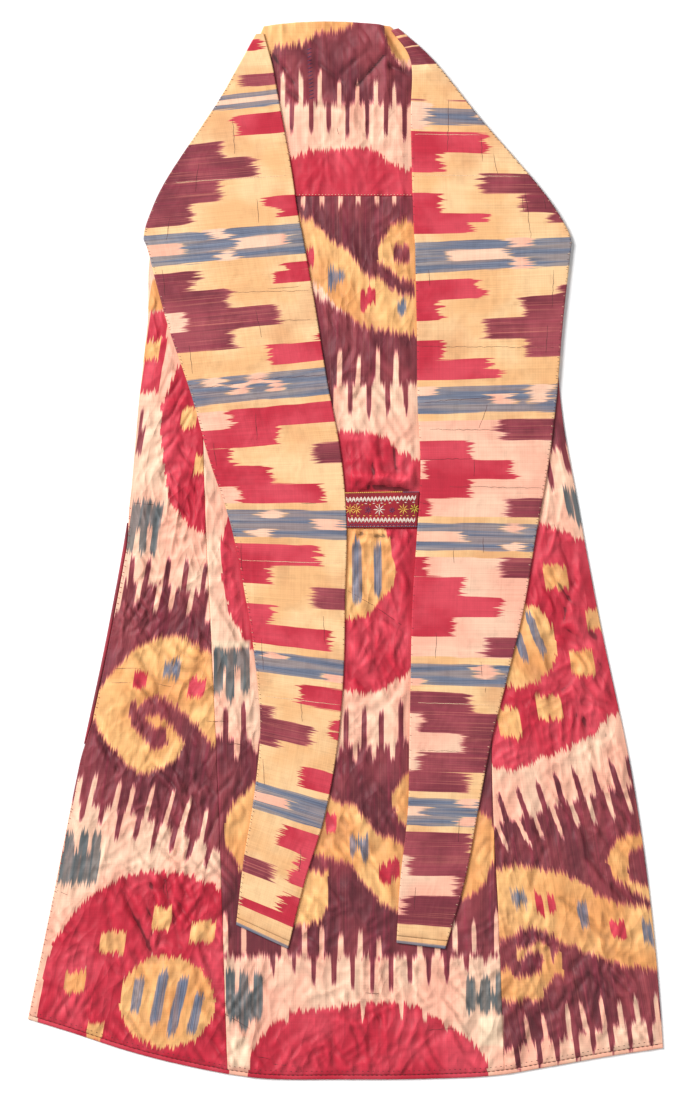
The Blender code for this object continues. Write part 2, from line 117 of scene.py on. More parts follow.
BodySection = namedtuple("BodySection", "down left_edge left_seam right_seam right_edge front_gap")
BODY = [
    BodySection(5, -109, -150, 150, 58, 72),
    BodySection(60, -133, -152, 154, 110, 66),
    BodySection(120, -167, -154, 157, 160, 46),
    BodySection(180, -207, -156, 160, 213, 20),
    BodySection(240, -241, -159, 164, 261, FRONT_GAP),
    BodySection(300, -259, -173, 178, 286, FRONT_GAP),
    BodySection(400, -264, -187, 194, 281, FRONT_GAP),
    BodySection(500, -275, -190, 199, 285, FRONT_GAP),
    BodySection(650, -289, -187, 200, 310, FRONT_GAP),
    BodySection(800, -315, -180, 196, 338, FRONT_GAP),
    BodySection(1000, -357, -171, 194, 380, FRONT_GAP),
    BodySection(1200, -397, -164, 203, 408, FRONT_GAP),
    BodySection(1326, -423, -160, 208, 419, FRONT_GAP),
    BodySection(1406, -439, -157, 211, 424, FRONT_GAP),
]

HemPoint = namedtuple("HemPoint", "across rise")
HEM = [
    HemPoint(-439, 85),
    HemPoint(-367, 63),
    HemPoint(-287, 37),
    HemPoint(-207, 17),
    HemPoint(-128, 3),
    HemPoint(0, 0),
    HemPoint(112, 1),
    HemPoint(205, 6),
    HemPoint(271, 17),
    HemPoint(351, 31),
    HemPoint(424, 42),
]

# The sleeves' outlines. Unit is the place in the sleeve's ikat, which repeats from one blue band to
# the next.
SleeveSection = namedtuple("SleeveSection", "inner_across inner_down outer_across outer_down unit")
SLEEVE_LEFT = [
    SleeveSection(-109, 16, -120, 17, 0.35),
    SleeveSection(-97, 61, -146, 64, 0.7),
    SleeveSection(-90, 100, -172, 109, 1.0),
    SleeveSection(-73, 193, -237, 207, 1.5),
    SleeveSection(-66, 241, -261, 257, 1.75),
    SleeveSection(-61, 269, -269, 287, 1.9),
    SleeveSection(-57, 287, -263, 306, 2.0),
    SleeveSection(-40, 383, -238, 400, 2.5),
    SleeveSection(-25, 477, -206, 495, 3.0),
    SleeveSection(-7, 573, -182, 581, 3.5),
    SleeveSection(1, 669, -154, 666, 4.0),
    SleeveSection(-1, 766, -135, 757, 4.5),
    SleeveSection(-3, 864, -121, 849, 5.0),
    SleeveSection(-11, 960, -114, 938, 5.5),
    SleeveSection(-28, 1055, -122, 1027, 6.0),
    SleeveSection(-55, 1144, -136, 1113, 6.5),
    SleeveSection(-77, 1232, -146, 1200, 7.0),
]
SLEEVE_RIGHT = [
    SleeveSection(60, 12, 70, 9, 0.3),
    SleeveSection(86, 53, 116, 51, 0.6),
    SleeveSection(86, 125, 178, 128, 1.0),
    SleeveSection(88, 219, 258, 221, 1.5),
    SleeveSection(90, 275, 291, 270, 1.8),
    SleeveSection(92, 301, 300, 294, 1.93),
    SleeveSection(92, 314, 299, 303, 2.0),
    SleeveSection(94, 410, 288, 403, 2.5),
    SleeveSection(95, 504, 280, 500, 3.0),
    SleeveSection(99, 596, 268, 596, 3.5),
    SleeveSection(94, 684, 252, 686, 4.0),
    SleeveSection(88, 775, 237, 777, 4.5),
    SleeveSection(86, 867, 215, 870, 5.0),
    SleeveSection(84, 959, 192, 962, 5.5),
    SleeveSection(82, 1049, 175, 1052, 6.0),
    SleeveSection(72, 1141, 158, 1142, 6.5),
    SleeveSection(67, 1224, 132, 1232, 7.0),
]

# The largest folds, each a ridge along a straight line, or a trough where its height is below zero
Fold = namedtuple("Fold", "across down to_across to_down width height")
BODY_FOLDS = [
    Fold(-72, 42, -52, 108, 12, 2.6),
    Fold(-22, 62, 30, 30, 15, 2.8),
    Fold(-8, 108, 14, 150, 11, 1.8),
    Fold(56, 52, 50, 106, 8, 3.6),
    Fold(45, 8, 53, 34, 7, 5.5),
    Fold(53, 34, 70, 56, 7, 5.0),
    Fold(-20, 260, 20, 330, 14, 1.8),
    Fold(40, 350, 70, 450, 13, 2.0),
    Fold(30, 480, 36, 560, 10, 2.2),
    Fold(34, 570, 46, 604, 6, 3.2),
    Fold(10, 604, 84, 610, 8, 7.0),
    Fold(8, 690, 54, 694, 7, 2.6),
    Fold(66, 690, 84, 770, 8, 2.6),
    Fold(26, 850, 62, 930, 12, 2.2),
    Fold(10, 1060, 48, 1150, 13, 2.4),
    Fold(-110, 1150, -122, 1240, 14, 2.2),
    Fold(-70, 1260, -10, 1330, 16, 2.4),
    Fold(60, 1250, 130, 1320, 16, 2.6),
    Fold(158, 1160, 168, 1260, 12, 2.2),
    Fold(-226, 690, -200, 740, 11, 2.4),
    Fold(-262, 770, -284, 880, 12, 2.6),
    Fold(-300, 850, -254, 900, 12, 2.2),
    Fold(-206, 830, -184, 920, 11, 2.6),
    Fold(-314, 990, -250, 1050, 14, 2.6),
    Fold(-236, 1000, -210, 1110, 12, 2.8),
    Fold(-340, 1110, -280, 1220, 15, 2.6),
    Fold(-222, 1180, -192, 1290, 13, 2.6),
    Fold(-380, 1200, -350, 1290, 13, 2.0),
    Fold(282, 720, 304, 790, 10, 2.6),
    Fold(250, 770, 262, 850, 10, 2.2),
    Fold(288, 892, 320, 862, 11, 2.6),
    Fold(320, 862, 346, 892, 11, 2.4),
    Fold(240, 900, 222, 985, 12, 2.4),
    Fold(336, 985, 380, 1075, 13, 2.6),
    Fold(236, 1060, 280, 1160, 14, 2.8),
    Fold(330, 1130, 372, 1230, 14, 2.6),
    Fold(246, 1250, 330, 1310, 15, 2.6),
]
SLEEVE_FOLDS = [
    Fold(74, 20, 104, 40, 9, 4.6),
    Fold(112, 62, 140, 70, 9, 2.4),
    Fold(-150, 84, -118, 120, 14, 1.4),
    Fold(-80, 300, -200, 318, 16, 1.0),
    Fold(120, 700, 200, 712, 14, 0.9),
]

# Finer creases, listed one by one: soft troughs and narrow ridges
BODY_CREASES = [
    Fold(-96, 47, -82, 62, 3.5, -1.6),
    Fold(-82, 62, -70, 80, 3.2, -1.8),
    Fold(-70, 80, -66, 97, 3.0, -1.4),
    Fold(-6, 69, 10, 54, 3.0, -1.5),
    Fold(10, 54, 27, 40, 3.0, -1.5),
    Fold(16, 84, 32, 66, 3.6, -2.4),
    Fold(32, 66, 50, 46, 3.6, -2.4),
    Fold(28, 80, 28, 142, 2.6, -1.3),
    Fold(40, 80, 36, 118, 2.6, 1.0),
    Fold(-50, 30, -30, 46, 5.0, 1.2),
    Fold(-36, 18, -12, 24, 5.0, 1.4),
    Fold(2, 92, -2, 128, 3.4, 0.9),
    Fold(35, 572, 37, 609, 3.2, -1.8),
    Fold(64, 566, 66, 594, 3.0, -1.8),
    Fold(50, 560, 56, 604, 4.0, 1.4),
    Fold(76, 560, 74, 600, 4.0, 1.6),
    Fold(38, 618, 75, 621, 3.0, -3.0),
    Fold(66, 696, 92, 756, 3.6, -1.6),
    Fold(20, 682, 60, 686, 3.2, -1.2),
    Fold(14, 794, 34, 818, 4.0, -2.6),
    Fold(39, 786, 85, 813, 4.0, -3.0),
    Fold(46, 839, 69, 879, 4.5, -3.4),
    Fold(0, 854, 30, 887, 4.5, -3.2),
    Fold(36, 770, 37, 850, 3.0, -1.6),
    Fold(-272, 880, -256, 905, 4.0, -2.6),
    Fold(-232, 900, -196, 950, 5.0, -3.6),
    Fold(-214, 960, -190, 1010, 5.0, -3.0),
    Fold(-300, 750, -268, 782, 5.0, -3.0),
    Fold(-250, 1020, -228, 1070, 5.0, -3.4),
    Fold(-270, 1160, -240, 1220, 5.5, -3.6),
    Fold(-238, 1150, -222, 1226, 5.0, -3.2),
    Fold(-318, 1170, -306, 1260, 5.0, -3.0),
    Fold(262, 740, 286, 786, 5.0, -3.6),
    Fold(286, 786, 274, 822, 5.0, -3.2),
    Fold(296, 812, 340, 856, 6.0, -3.6),
    Fold(274, 900, 300, 866, 6.0, -3.4),
    Fold(300, 866, 332, 900, 6.0, -3.0),
    Fold(318, 930, 330, 975, 5.0, -3.0),
    Fold(303, 1049, 316, 1077, 4.2, -3.6),
    Fold(316, 1077, 324, 1110, 4.2, -3.8),
    Fold(324, 1110, 340, 1135, 4.2, -3.2),
    Fold(252, 1062, 262, 1100, 4.0, -2.8),
    Fold(287, 1167, 324, 1196, 4.2, -3.2),
    Fold(324, 1196, 342, 1218, 4.2, -2.8),
    Fold(256, 1118, 246, 1152, 4.0, -2.6),
    Fold(356, 1150, 384, 1178, 4.0, -2.8),
    Fold(300, 1258, 326, 1230, 4.4, -3.0),
    Fold(326, 1268, 360, 1300, 4.4, -2.8),
    Fold(232, 1300, 254, 1340, 4.2, -2.8),
    Fold(380, 1250, 396, 1300, 4.4, -2.8),
    Fold(-275, 843, -243, 894, 4.4, -3.2),
    Fold(-246, 894, -202, 971, 4.6, -3.8),
    Fold(-202, 971, -178, 1022, 4.4, -3.2),
    Fold(-259, 996, -240, 1022, 4.2, -3.2),
    Fold(-240, 1022, -250, 1067, 4.2, -3.2),
    Fold(-250, 1067, -254, 1094, 4.0, -2.4),
    Fold(-326, 958, -304, 993, 4.4, -3.0),
    Fold(-304, 993, -320, 1028, 4.4, -2.8),
    Fold(-268, 763, -250, 792, 4.2, -2.8),
    Fold(-212, 770, -196, 800, 4.2, -2.8),
    Fold(-330, 1232, -300, 1262, 4.6, -3.0),
    Fold(-280, 1240, -262, 1290, 4.6, -3.0),
    Fold(-200, 1248, -186, 1310, 4.6, -3.0),
    Fold(-36, 1120, -10, 1160, 4.4, -3.0),
    Fold(24, 1100, 44, 1160, 4.4, -3.0),
    Fold(-60, 1240, -30, 1258, 4.0, -2.4),
    Fold(60, 1236, 96, 1262, 4.0, -2.6),
    Fold(-20, 1322, -18, 1380, 3.6, -2.2),
    Fold(30, 1320, 34, 1386, 3.6, -2.2),
    Fold(281, 667, 292, 699, 4.2, -3.2),
    Fold(292, 699, 302, 745, 4.2, -3.2),
    Fold(302, 745, 292, 780, 4.2, -3.0),
    Fold(267, 752, 288, 794, 4.2, -3.0),
    Fold(302, 858, 295, 880, 4.2, -3.0),
    Fold(316, 904, 352, 911, 4.4, -3.0),
    Fold(-295, 1159, -278, 1191, 4.4, -3.6),
    Fold(-278, 1191, -256, 1244, 4.4, -3.6),
    Fold(-260, 1141, -256, 1180, 4.0, -3.0),
    Fold(-224, 1170, -207, 1194, 4.2, -3.0),
    Fold(-302, 1223, -295, 1262, 4.2, -3.0),
    Fold(-380, 1287, -366, 1318, 4.2, -2.8),
    Fold(-192, 1230, -178, 1272, 4.2, -2.8),
    Fold(-88, 82, -66, 101, 4.0, -3.2),
    Fold(-66, 101, -56, 110, 3.6, -2.4),
    Fold(54, 38, 60, 60, 3.6, -3.4),
    Fold(60, 60, 83, 68, 3.6, -3.0),
    Fold(-34, 58, -8, 78, 3.6, -2.4),
    Fold(-35, 110, 0, 116, 3.4, -1.8),
    Fold(0, 116, -8, 138, 3.4, -1.8),
]

Crease = namedtuple("Crease", "turn length width height seed")
BODY_CRINKLES = [
    Crease(6, 60, 14, 4.2, 11),
    Crease(-34, 42, 13, -5.0, 12),
    Crease(30, 38, 12, -4.4, 13),
    Crease(-12, 26, 8, 2.2, 14),
    Crease(58, 30, 11, 2.2, 15),
]
SLEEVE_CRINKLES = [
    Crease(4, 60, 18, 0.55, 21),
    Crease(88, 90, 12, 0.6, 22),
    Crease(-30, 30, 10, 0.45, 23),
    Crease(30, 22, 8, 0.35, 24),
]


def smooth(stations, values, at):
    """A smooth curve through the values at the stations, read at the given places."""
    stations = np.asarray(stations, float)
    values = np.asarray(values, float)
    at = np.clip(np.asarray(at, float), stations[0], stations[-1])
    slopes = np.gradient(values, stations)
    index = np.clip(np.searchsorted(stations, at) - 1, 0, len(stations) - 2)
    span = stations[index + 1] - stations[index]
    part = (at - stations[index]) / span
    start = (1 + 2 * part) * (1 - part) ** 2 * values[index]
    start_slope = part * (1 - part) ** 2 * slopes[index] * span
    end = part ** 2 * (3 - 2 * part) * values[index + 1]
    end_slope = part ** 2 * (part - 1) * slopes[index + 1] * span
    return start + start_slope + end + end_slope


def ease(value):
    """Rises softly from 0 to 1 as the value does."""
    value = np.clip(value, 0.0, 1.0)
    return value * value * (3.0 - 2.0 * value)


def hashed(x, y, seed):
    """An even scatter of numbers from 0 to 1, one for each whole place."""
    mixed = x * 374761393 + y * 668265263 + seed * 97531
    mixed = (mixed ^ (mixed >> 13)) * 1274126177
    mixed = mixed ^ (mixed >> 16)
    return (mixed & 0xFFFF) / 65535.0


def noise(x, y, seed):
    """Smooth noise from 0 to 1, with a cell of one unit."""
    left = np.floor(x).astype(np.int64)
    low = np.floor(y).astype(np.int64)
    part_x, part_y = ease(x - left), ease(y - low)
    near = hashed(left, low, seed) * (1 - part_x) + hashed(left + 1, low, seed) * part_x
    far = hashed(left, low + 1, seed) * (1 - part_x) + hashed(left + 1, low + 1, seed) * part_x
    return near * (1 - part_y) + far * part_y


CREST = 0.14


def crinkles(creases, across, down):
    """Short uneven creases along several directions, each lot fading in and out over the cloth."""
    bend_across = across + 14 * noise(across / 46, down / 60, 3)
    bend_down = down + 14 * noise(across / 60, down / 46, 4)
    height = np.zeros(np.shape(across))
    for crease in creases:
        turn = math.radians(crease.turn)
        aside = bend_across * math.cos(turn) + bend_down * math.sin(turn)
        along = bend_down * math.cos(turn) - bend_across * math.sin(turn)
        wave = noise(aside / crease.width, along / crease.length, crease.seed)
        ridge = (1 - np.minimum(np.hypot(2 * wave - 1, CREST), 1)) ** 2
        there = ease(noise(across / 75, down / 95, crease.seed + 50) * 2.6 - 0.8)
        height = height + crease.height * (ridge - 0.33) * (0.2 + 0.8 * there)
    return height


def body_line(column, down):
    """Where a line of the body's outline lies across, at the given places down."""
    return smooth([row.down for row in BODY], [getattr(row, column) for row in BODY], down)


def hem_rise(across):
    return smooth([point.across for point in HEM], [point.rise for point in HEM], across)


def edging_width(down):
    """The width of the crimson edging, which tapers at both ends."""
    taper_in = ease((down - EDGING_START) / EDGING_TAPER)
    return EDGING_WIDTH * taper_in * ease((EDGING_END - down) / EDGING_TAPER)


def left_fold(down):
    """The left fold lies inside the edging."""
    return body_line("left_edge", down) + edging_width(down)


def right_fold(down):
    return body_line("right_edge", down)


def left_seam(down):
    return body_line("left_seam", down)


def right_seam(down):
    return body_line("right_seam", down)


def middle_front(down):
    """The middle of the front, where the two fronts part."""
    return (body_line("left_edge", down) + body_line("right_edge", down)) / 2


def placed_down(station, across):
    """The place down of a point on a row: rows bend to the curves of the top and of the hem."""
    middle = (BODY[0].left_edge + BODY[0].right_edge) / 2
    half = (BODY[0].right_edge - BODY[0].left_edge) / 2
    top_drop = np.minimum(((np.asarray(across) - middle) / half) ** 2, 1.5) * TOP_DROP
    at_hem = ease((station - HEM_CURVE_START) / (HEM_DOWN - HEM_CURVE_START))
    at_top = 1.0 - ease(station / TOP_CURVE_END)
    return station - hem_rise(across) * at_hem + top_drop * at_top


def line_on_rows(line, stations):
    """Where a line of the body crosses each row, which lies a little higher at its ends."""
    across = line(stations)
    for _ in range(4):
        across = line(placed_down(stations, across))
    return across


def sleeve_span(sections, down):
    """The sleeve's left and right limits across, at the given places down."""
    inner = smooth([row.inner_down for row in sections], [row.inner_across for row in sections], down)
    outer = smooth([row.outer_down for row in sections], [row.outer_across for row in sections], down)
    return np.minimum(inner, outer), np.maximum(inner, outer)


def clear_of_sleeves(across, down):
    """How far a point of the body lies outside the sleeves."""
    nearest = np.full(np.shape(across), 1000.0)
    for sections in (SLEEVE_LEFT, SLEEVE_RIGHT):
        left, right = sleeve_span(sections, down)
        end = max(sections[-1].inner_down, sections[-1].outer_down)
        sideways = np.maximum(np.maximum(left - across, across - right), 0.0)
        nearest = np.minimum(nearest, np.hypot(sideways, np.maximum(down - end, 0.0)))
    return nearest


def clear_of_band(across, down):
    """How far a point of the body lies from the embroidered band."""
    sideways = np.maximum(np.maximum(-across, across - SLEEVE_RIGHT[9].inner_across), 0.0)
    lengthways = np.maximum(np.maximum(BAND_DOWN - down, down - BAND_END_DOWN), 0.0)
    return np.hypot(sideways, lengthways)


def ridges(folds, across, down):
    """The summed height of the folds at the given points."""
    height = np.zeros(np.shape(across))
    for fold in folds:
        run_across = fold.to_across - fold.across
        run_down = fold.to_down - fold.down
        length = math.hypot(run_across, run_down)
        along = ((across - fold.across) * run_across + (down - fold.down) * run_down) / length
        aside = ((across - fold.across) * run_down - (down - fold.down) * run_across) / length
        beyond = np.maximum(np.maximum(-along, along - length), 0.0)
        reach = np.hypot(aside / fold.width, beyond / (1.5 * fold.width))
        height = height + fold.height * np.exp(-reach ** 2)
    return height


FLAT_BESIDE_SLEEVE = 1.5
FLAT_BESIDE_BAND = 2.0
BAND_FADE = 4.0
CRINKLE_FADE = 9.0
EDGE_CRINKLE = 0.15
TOP_CALM = 0.55
CALM_END = 180.0
CALM_FADE = 260.0


def inside_folds(across, down):
    """How far each point lies inside the robe's two outer folds."""
    return np.minimum(across - left_fold(down), right_fold(down) - across)


def beside_sleeves(across, down):
    """How far each point lies out from under the sleeves and the flat cloth right beside them."""
    return np.maximum(clear_of_sleeves(across, down) - FLAT_BESIDE_SLEEVE, 0.0)


def upper_calm(down):
    """The share of the crinkles that stays: fewer at the top than in the skirt."""
    return TOP_CALM + (1 - TOP_CALM) * ease((down - CALM_END) / CALM_FADE)


def body_relief(across, down):
    """How far the back's cloth stands above its flat lie: none under the sleeves or at the edges."""
    inside = inside_folds(across, down)
    hem = HEM_DOWN - hem_rise(across) - down
    clear = beside_sleeves(across, down)
    band = ease((clear_of_band(across, down) - FLAT_BESIDE_BAND) / BAND_FADE)
    edge = ease(inside / EDGE_FADE) * ease(hem / EDGE_FADE)
    large = (PUFF + ridges(BODY_FOLDS, across, down)) * ease(clear / FOLD_FADE) * edge * band
    fine = crinkles(BODY_CRINKLES, across, down) * upper_calm(down) + ridges(BODY_CREASES, across, down)
    fine = fine * ease(clear / CRINKLE_FADE) * (EDGE_CRINKLE + (1 - EDGE_CRINKLE) * edge) * band
    return np.maximum(large + fine, 0.0)


def body_crumple(across, down):
    """How crumpled the back's silk is, from 0 to 1, for the finest creases."""
    near_sleeve = 0.3 + 0.7 * ease(beside_sleeves(across, down) / CRINKLE_FADE)
    near_edge = 0.4 + 0.6 * ease(inside_folds(across, down) / EDGE_FADE)
    there = 0.45 + 0.55 * ease(noise(across / 60, down / 80, 71) * 2.4 - 0.7)
    return near_sleeve * near_edge * upper_calm(down) * there


# Cloth as shells
GRID = 2.5
ROLL = [0.0, 0.35, 0.9, 1.8]
ROLL_DEPTH = 0.75
ROLL_REACH = 0.8
INNER_STEP = 8
# How strongly the cloth's curvature is painted as shade in the troughs and as light on the ridges, and the
# limits of both
HOLLOW_SHARE = 15.0
TROUGH_SHADE_MOST = -21.0
RIDGE_LIGHT_MOST = 28.0


def lowest_near(heights, reach):
    """The lowest height within a few points of each point of a grid."""
    low = heights.copy()
    for axis in (0, 1):
        spread = low.copy()
        for step in range(1, reach + 1):
            for shift in (step, -step):
                moved = np.roll(low, shift, axis=axis)
                edge = [slice(None), slice(None)]
                edge[axis] = slice(0, step) if shift > 0 else slice(-step, None)
                moved[tuple(edge)] = low[tuple(edge)]
                spread = np.minimum(spread, moved)
        low = spread
    return low


def spread_out(start, end, step):
    """Places from start to end, closer together at both ends, where the cloth's edge turns down."""
    count = max(int(abs(end - start) / step), 4)
    side = 1 if end > start else -1
    middle = np.linspace(start + side * 3.0, end - side * 3.0, count)
    near = [start + side * place for place in ROLL]
    far = [end - side * place for place in reversed(ROLL)]
    return np.concatenate([near, middle, far])


def roll_off(distance):
    """How far the cloth's face drops close to a sewn edge."""
    return ROLL_DEPTH * np.exp(-np.maximum(distance, 0.0) / ROLL_REACH)


# Soft dark lines where a deep fold keeps the light out
DARK_FOLDS = [
    Fold(14, 618, 44, 619, 2.6, -22),
    Fold(40, 619, 78, 623, 3.0, -30),
    Fold(36, 575, 37, 606, 2.2, -12),
    Fold(64, 568, 66, 592, 2.2, -12),
    Fold(20, 680, 60, 684, 3.0, -14),
    Fold(16, 84, 50, 46, 3.0, -9),
    Fold(-96, 47, -66, 90, 3.0, -7),
    Fold(-101, 18, -89, 74, 4.5, -15),
    Fold(282, 695, 288, 748, 6, -10),
    Fold(288, 735, 304, 784, 6, -9),
    Fold(304, 784, 329, 817, 6, -9),
    Fold(329, 817, 341, 850, 6, -9),
    Fold(311, 691, 329, 768, 10, -10),
    Fold(286, 748, 296, 817, 5, -8),
    Fold(317, 809, 345, 821, 5, -9),
    Fold(337, 858, 362, 915, 9, -9),
    Fold(282, 878, 309, 923, 6, -9),
    Fold(309, 923, 341, 948, 5, -9),
    Fold(235, 878, 264, 903, 4, -7),
    Fold(-258, 1137, -263, 1187, 5, -8),
    Fold(-263, 1187, -255, 1225, 5, -8),
    Fold(-304, 1159, -280, 1198, 5, -8),
    Fold(-280, 1198, -258, 1236, 5, -8),
    Fold(-225, 1170, -236, 1209, 5, -7),
    Fold(-244, 1132, -241, 1181, 4, -7),
]


def hollows(lift):
    """How far each point lies above the cloth round it, painted as light on the ridges and as shade in the
    troughs.
    """
    around = lift.copy()
    for axis in (0, 1):
        around = sum(np.roll(around, step, axis=axis) for step in (-3, -2, -1, 0, 1, 2, 3)) / 7
    return np.clip((lift - around) * HOLLOW_SHARE, TROUGH_SHADE_MOST, RIDGE_LIGHT_MOST)


def inner_places(count, step):
    """Every few places of a grid's side, with the last."""
    places = list(range(0, count, step))
    if places[-1] != count - 1:
        places.append(count - 1)
    return places


def shell_faces(rows, columns, closed, row_step, column_step):
    """Faces of an outer grid, of the sparser inner grid behind it, and of the edges between them."""
    faces, kinds = [], []
    wrap = columns if closed else columns - 1
    for row in range(rows - 1):
        for column in range(wrap):
            after = (column + 1) % columns
            faces.append((row * columns + column, row * columns + after,
                          (row + 1) * columns + after, (row + 1) * columns + column))
            kinds.append(0)
    inner_rows = inner_places(rows, row_step)
    if closed:
        inner_columns = list(range(0, columns, column_step))
    else:
        inner_columns = inner_places(columns, column_step)
    base = rows * columns
    width = len(inner_columns)
    inner_wrap = width if closed else width - 1

    def inside(row, column):
        return base + row * width + column % width

    for row in range(len(inner_rows) - 1):
        for column in range(inner_wrap):
            faces.append((inside(row, column), inside(row + 1, column),
                          inside(row + 1, column + 1), inside(row, column + 1)))
            kinds.append(1)
    for inner_row, row in ((0, 0), (len(inner_rows) - 1, rows - 1)):
        for index in range(inner_wrap):
            start = inner_columns[index]
            end = inner_columns[index + 1] if index + 1 < width else columns
            edge = [row * columns + column % columns for column in range(start, end + 1)]
            ring = edge + [inside(inner_row, index + 1), inside(inner_row, index)]
            faces.append(tuple(reversed(ring)) if row == 0 else tuple(ring))
            kinds.append(0)
    if not closed:
        for inner_column, column in ((0, 0), (width - 1, columns - 1)):
            for index in range(len(inner_rows) - 1):
                span = range(inner_rows[index], inner_rows[index + 1] + 1)
                edge = [row * columns + column for row in span]
                ring = edge + [inside(index + 1, inner_column), inside(index, inner_column)]
                faces.append(tuple(ring) if column == 0 else tuple(reversed(ring)))
                kinds.append(0)
    return faces, kinds, inner_rows, inner_columns


def world(points):
    """Points across, down and up in millimetres, in the frame's own place."""
    out = np.empty(points.shape)
    out[..., 0] = (points[..., 0] - SHIFT_ACROSS) * METRES
    out[..., 1] = SOLID_LOW[1] + (HEM_DOWN - points[..., 1]) * METRES
    out[..., 2] = points[..., 2] * METRES
    return out


hem_left = float(line_on_rows(left_fold, np.array([HEM_DOWN]))[0])
hem_right = float(line_on_rows(right_fold, np.array([HEM_DOWN]))[0])
SHIFT_ACROSS = (hem_left + hem_right) / 2

DYES = ("crimson", "gold", "maroon", "blue")
DYE_ORDER = ("pink", "gold", "crimson", "maroon", "blue", "green")
DYE_SPAN = 60.0
FIELD_LIMIT = 29.0
# The tint group's last channel is painted shading: shade in troughs and under deep folds, light on ridges
FIELD_GROUPS = (("dye", DYES), ("tint", ("green", "pale", "stain", "fade")), ("form", ("crumple",)))


def add_shell(name, outer, inner, warp, fields, materials, closed=False, row_step=INNER_STEP,
              column_step=INNER_STEP):
    """A thin closed cloth. Warp holds each outer point's place across and along the threads, and
    fields the signed distance to each dye's edge, all in millimetres."""
    rows, columns = outer.shape[:2]
    faces, kinds, inner_rows, inner_columns = shell_faces(rows, columns, closed, row_step, column_step)
    sparse = np.ix_(inner_rows, inner_columns)
    points = np.concatenate([outer.reshape(-1, 3), inner[sparse].reshape(-1, 3)])
    mesh = bpy.data.meshes.new(name)
    mesh.from_pydata(world(points).tolist(), [], faces)
    mesh.validate()
    mesh.update()
    for material in materials:
        mesh.materials.append(material)
    mesh.polygons.foreach_set("material_index", np.array(kinds, dtype=np.int32))
    mesh.shade_smooth()
    places = np.concatenate([warp.reshape(-1, 2), warp[sparse].reshape(-1, 2)]) * METRES
    add_thread_map(mesh, places)
    for group, dyes in FIELD_GROUPS:
        values = np.zeros((len(points), 4), dtype=np.float32)
        for channel, dye in enumerate(dyes):
            field = np.clip(fields.get(dye, np.full((rows, columns), -FAR)), -FIELD_LIMIT, FIELD_LIMIT)
            values[:, channel] = 0.5 + np.concatenate([field.ravel(), field[sparse].ravel()]) / DYE_SPAN
        attribute = mesh.attributes.new(group, "FLOAT_COLOR", "POINT")
        attribute.data.foreach_set("color", values.ravel())
    return link(name, mesh)


def link(name, mesh):
    piece = bpy.data.objects.new(name, mesh)
    bpy.context.scene.collection.objects.link(piece)
    return piece


def add_thread_map(mesh, places):
    """The place of every corner across and along the threads, in metres."""
    layer = mesh.uv_layers.new(name="threads")
    corners = np.empty(len(mesh.loops), dtype=np.int32)
    mesh.loops.foreach_get("vertex_index", corners)
    layer.data.foreach_set("uv", places[corners].astype(np.float32).ravel())


# Patches where the silk is paler, or where it is stained
Area = namedtuple("Area", "across down half_width half_length")
PALE_PATCHES = [
    Area(-152, 827, 24, 4),
    Area(-141, 1369, 12, 20),
    Area(192, 1341, 16, 20),
]
STAINS = [
    Area(225, 375, 3.4, 2.6),
]


def patched(areas, across, down):
    """How far inside one of the areas each point lies, in millimetres."""
    inside = np.full(np.shape(across), -FAR)
    for area in areas:
        aside = area.half_width - np.abs(across - area.across)
        inside = np.maximum(inside, np.minimum(aside, area.half_length - np.abs(down - area.down)))
    return inside


# Ikat: every shape is painted over the ones before it, as signed distances along the threads
THREAD_GROUP = 4.6
GROUP_JITTER = 2.6
BAR_SIDE = 9.0
UNDERLAY = 9.0
FAR = 1000.0

Shape = namedtuple("Shape", "dye outline")
Bars = namedtuple("Bars", "dye half_width bars")
Spot = namedtuple("Spot", "dye across down half_width half_length")


def disc(dye, across, down, half_width, half_length, steps=40):
    turns = np.linspace(0, 2 * math.pi, steps, endpoint=False)
    outline = [(across + half_width * math.sin(turn),
        down - half_length * math.cos(turn)) for turn in turns]
    return Shape(dye, outline)


def block(dye, across, down, half_width, half_length):
    """A spot whose sides follow the threads."""
    return Spot(dye, across, down, half_width, half_length)


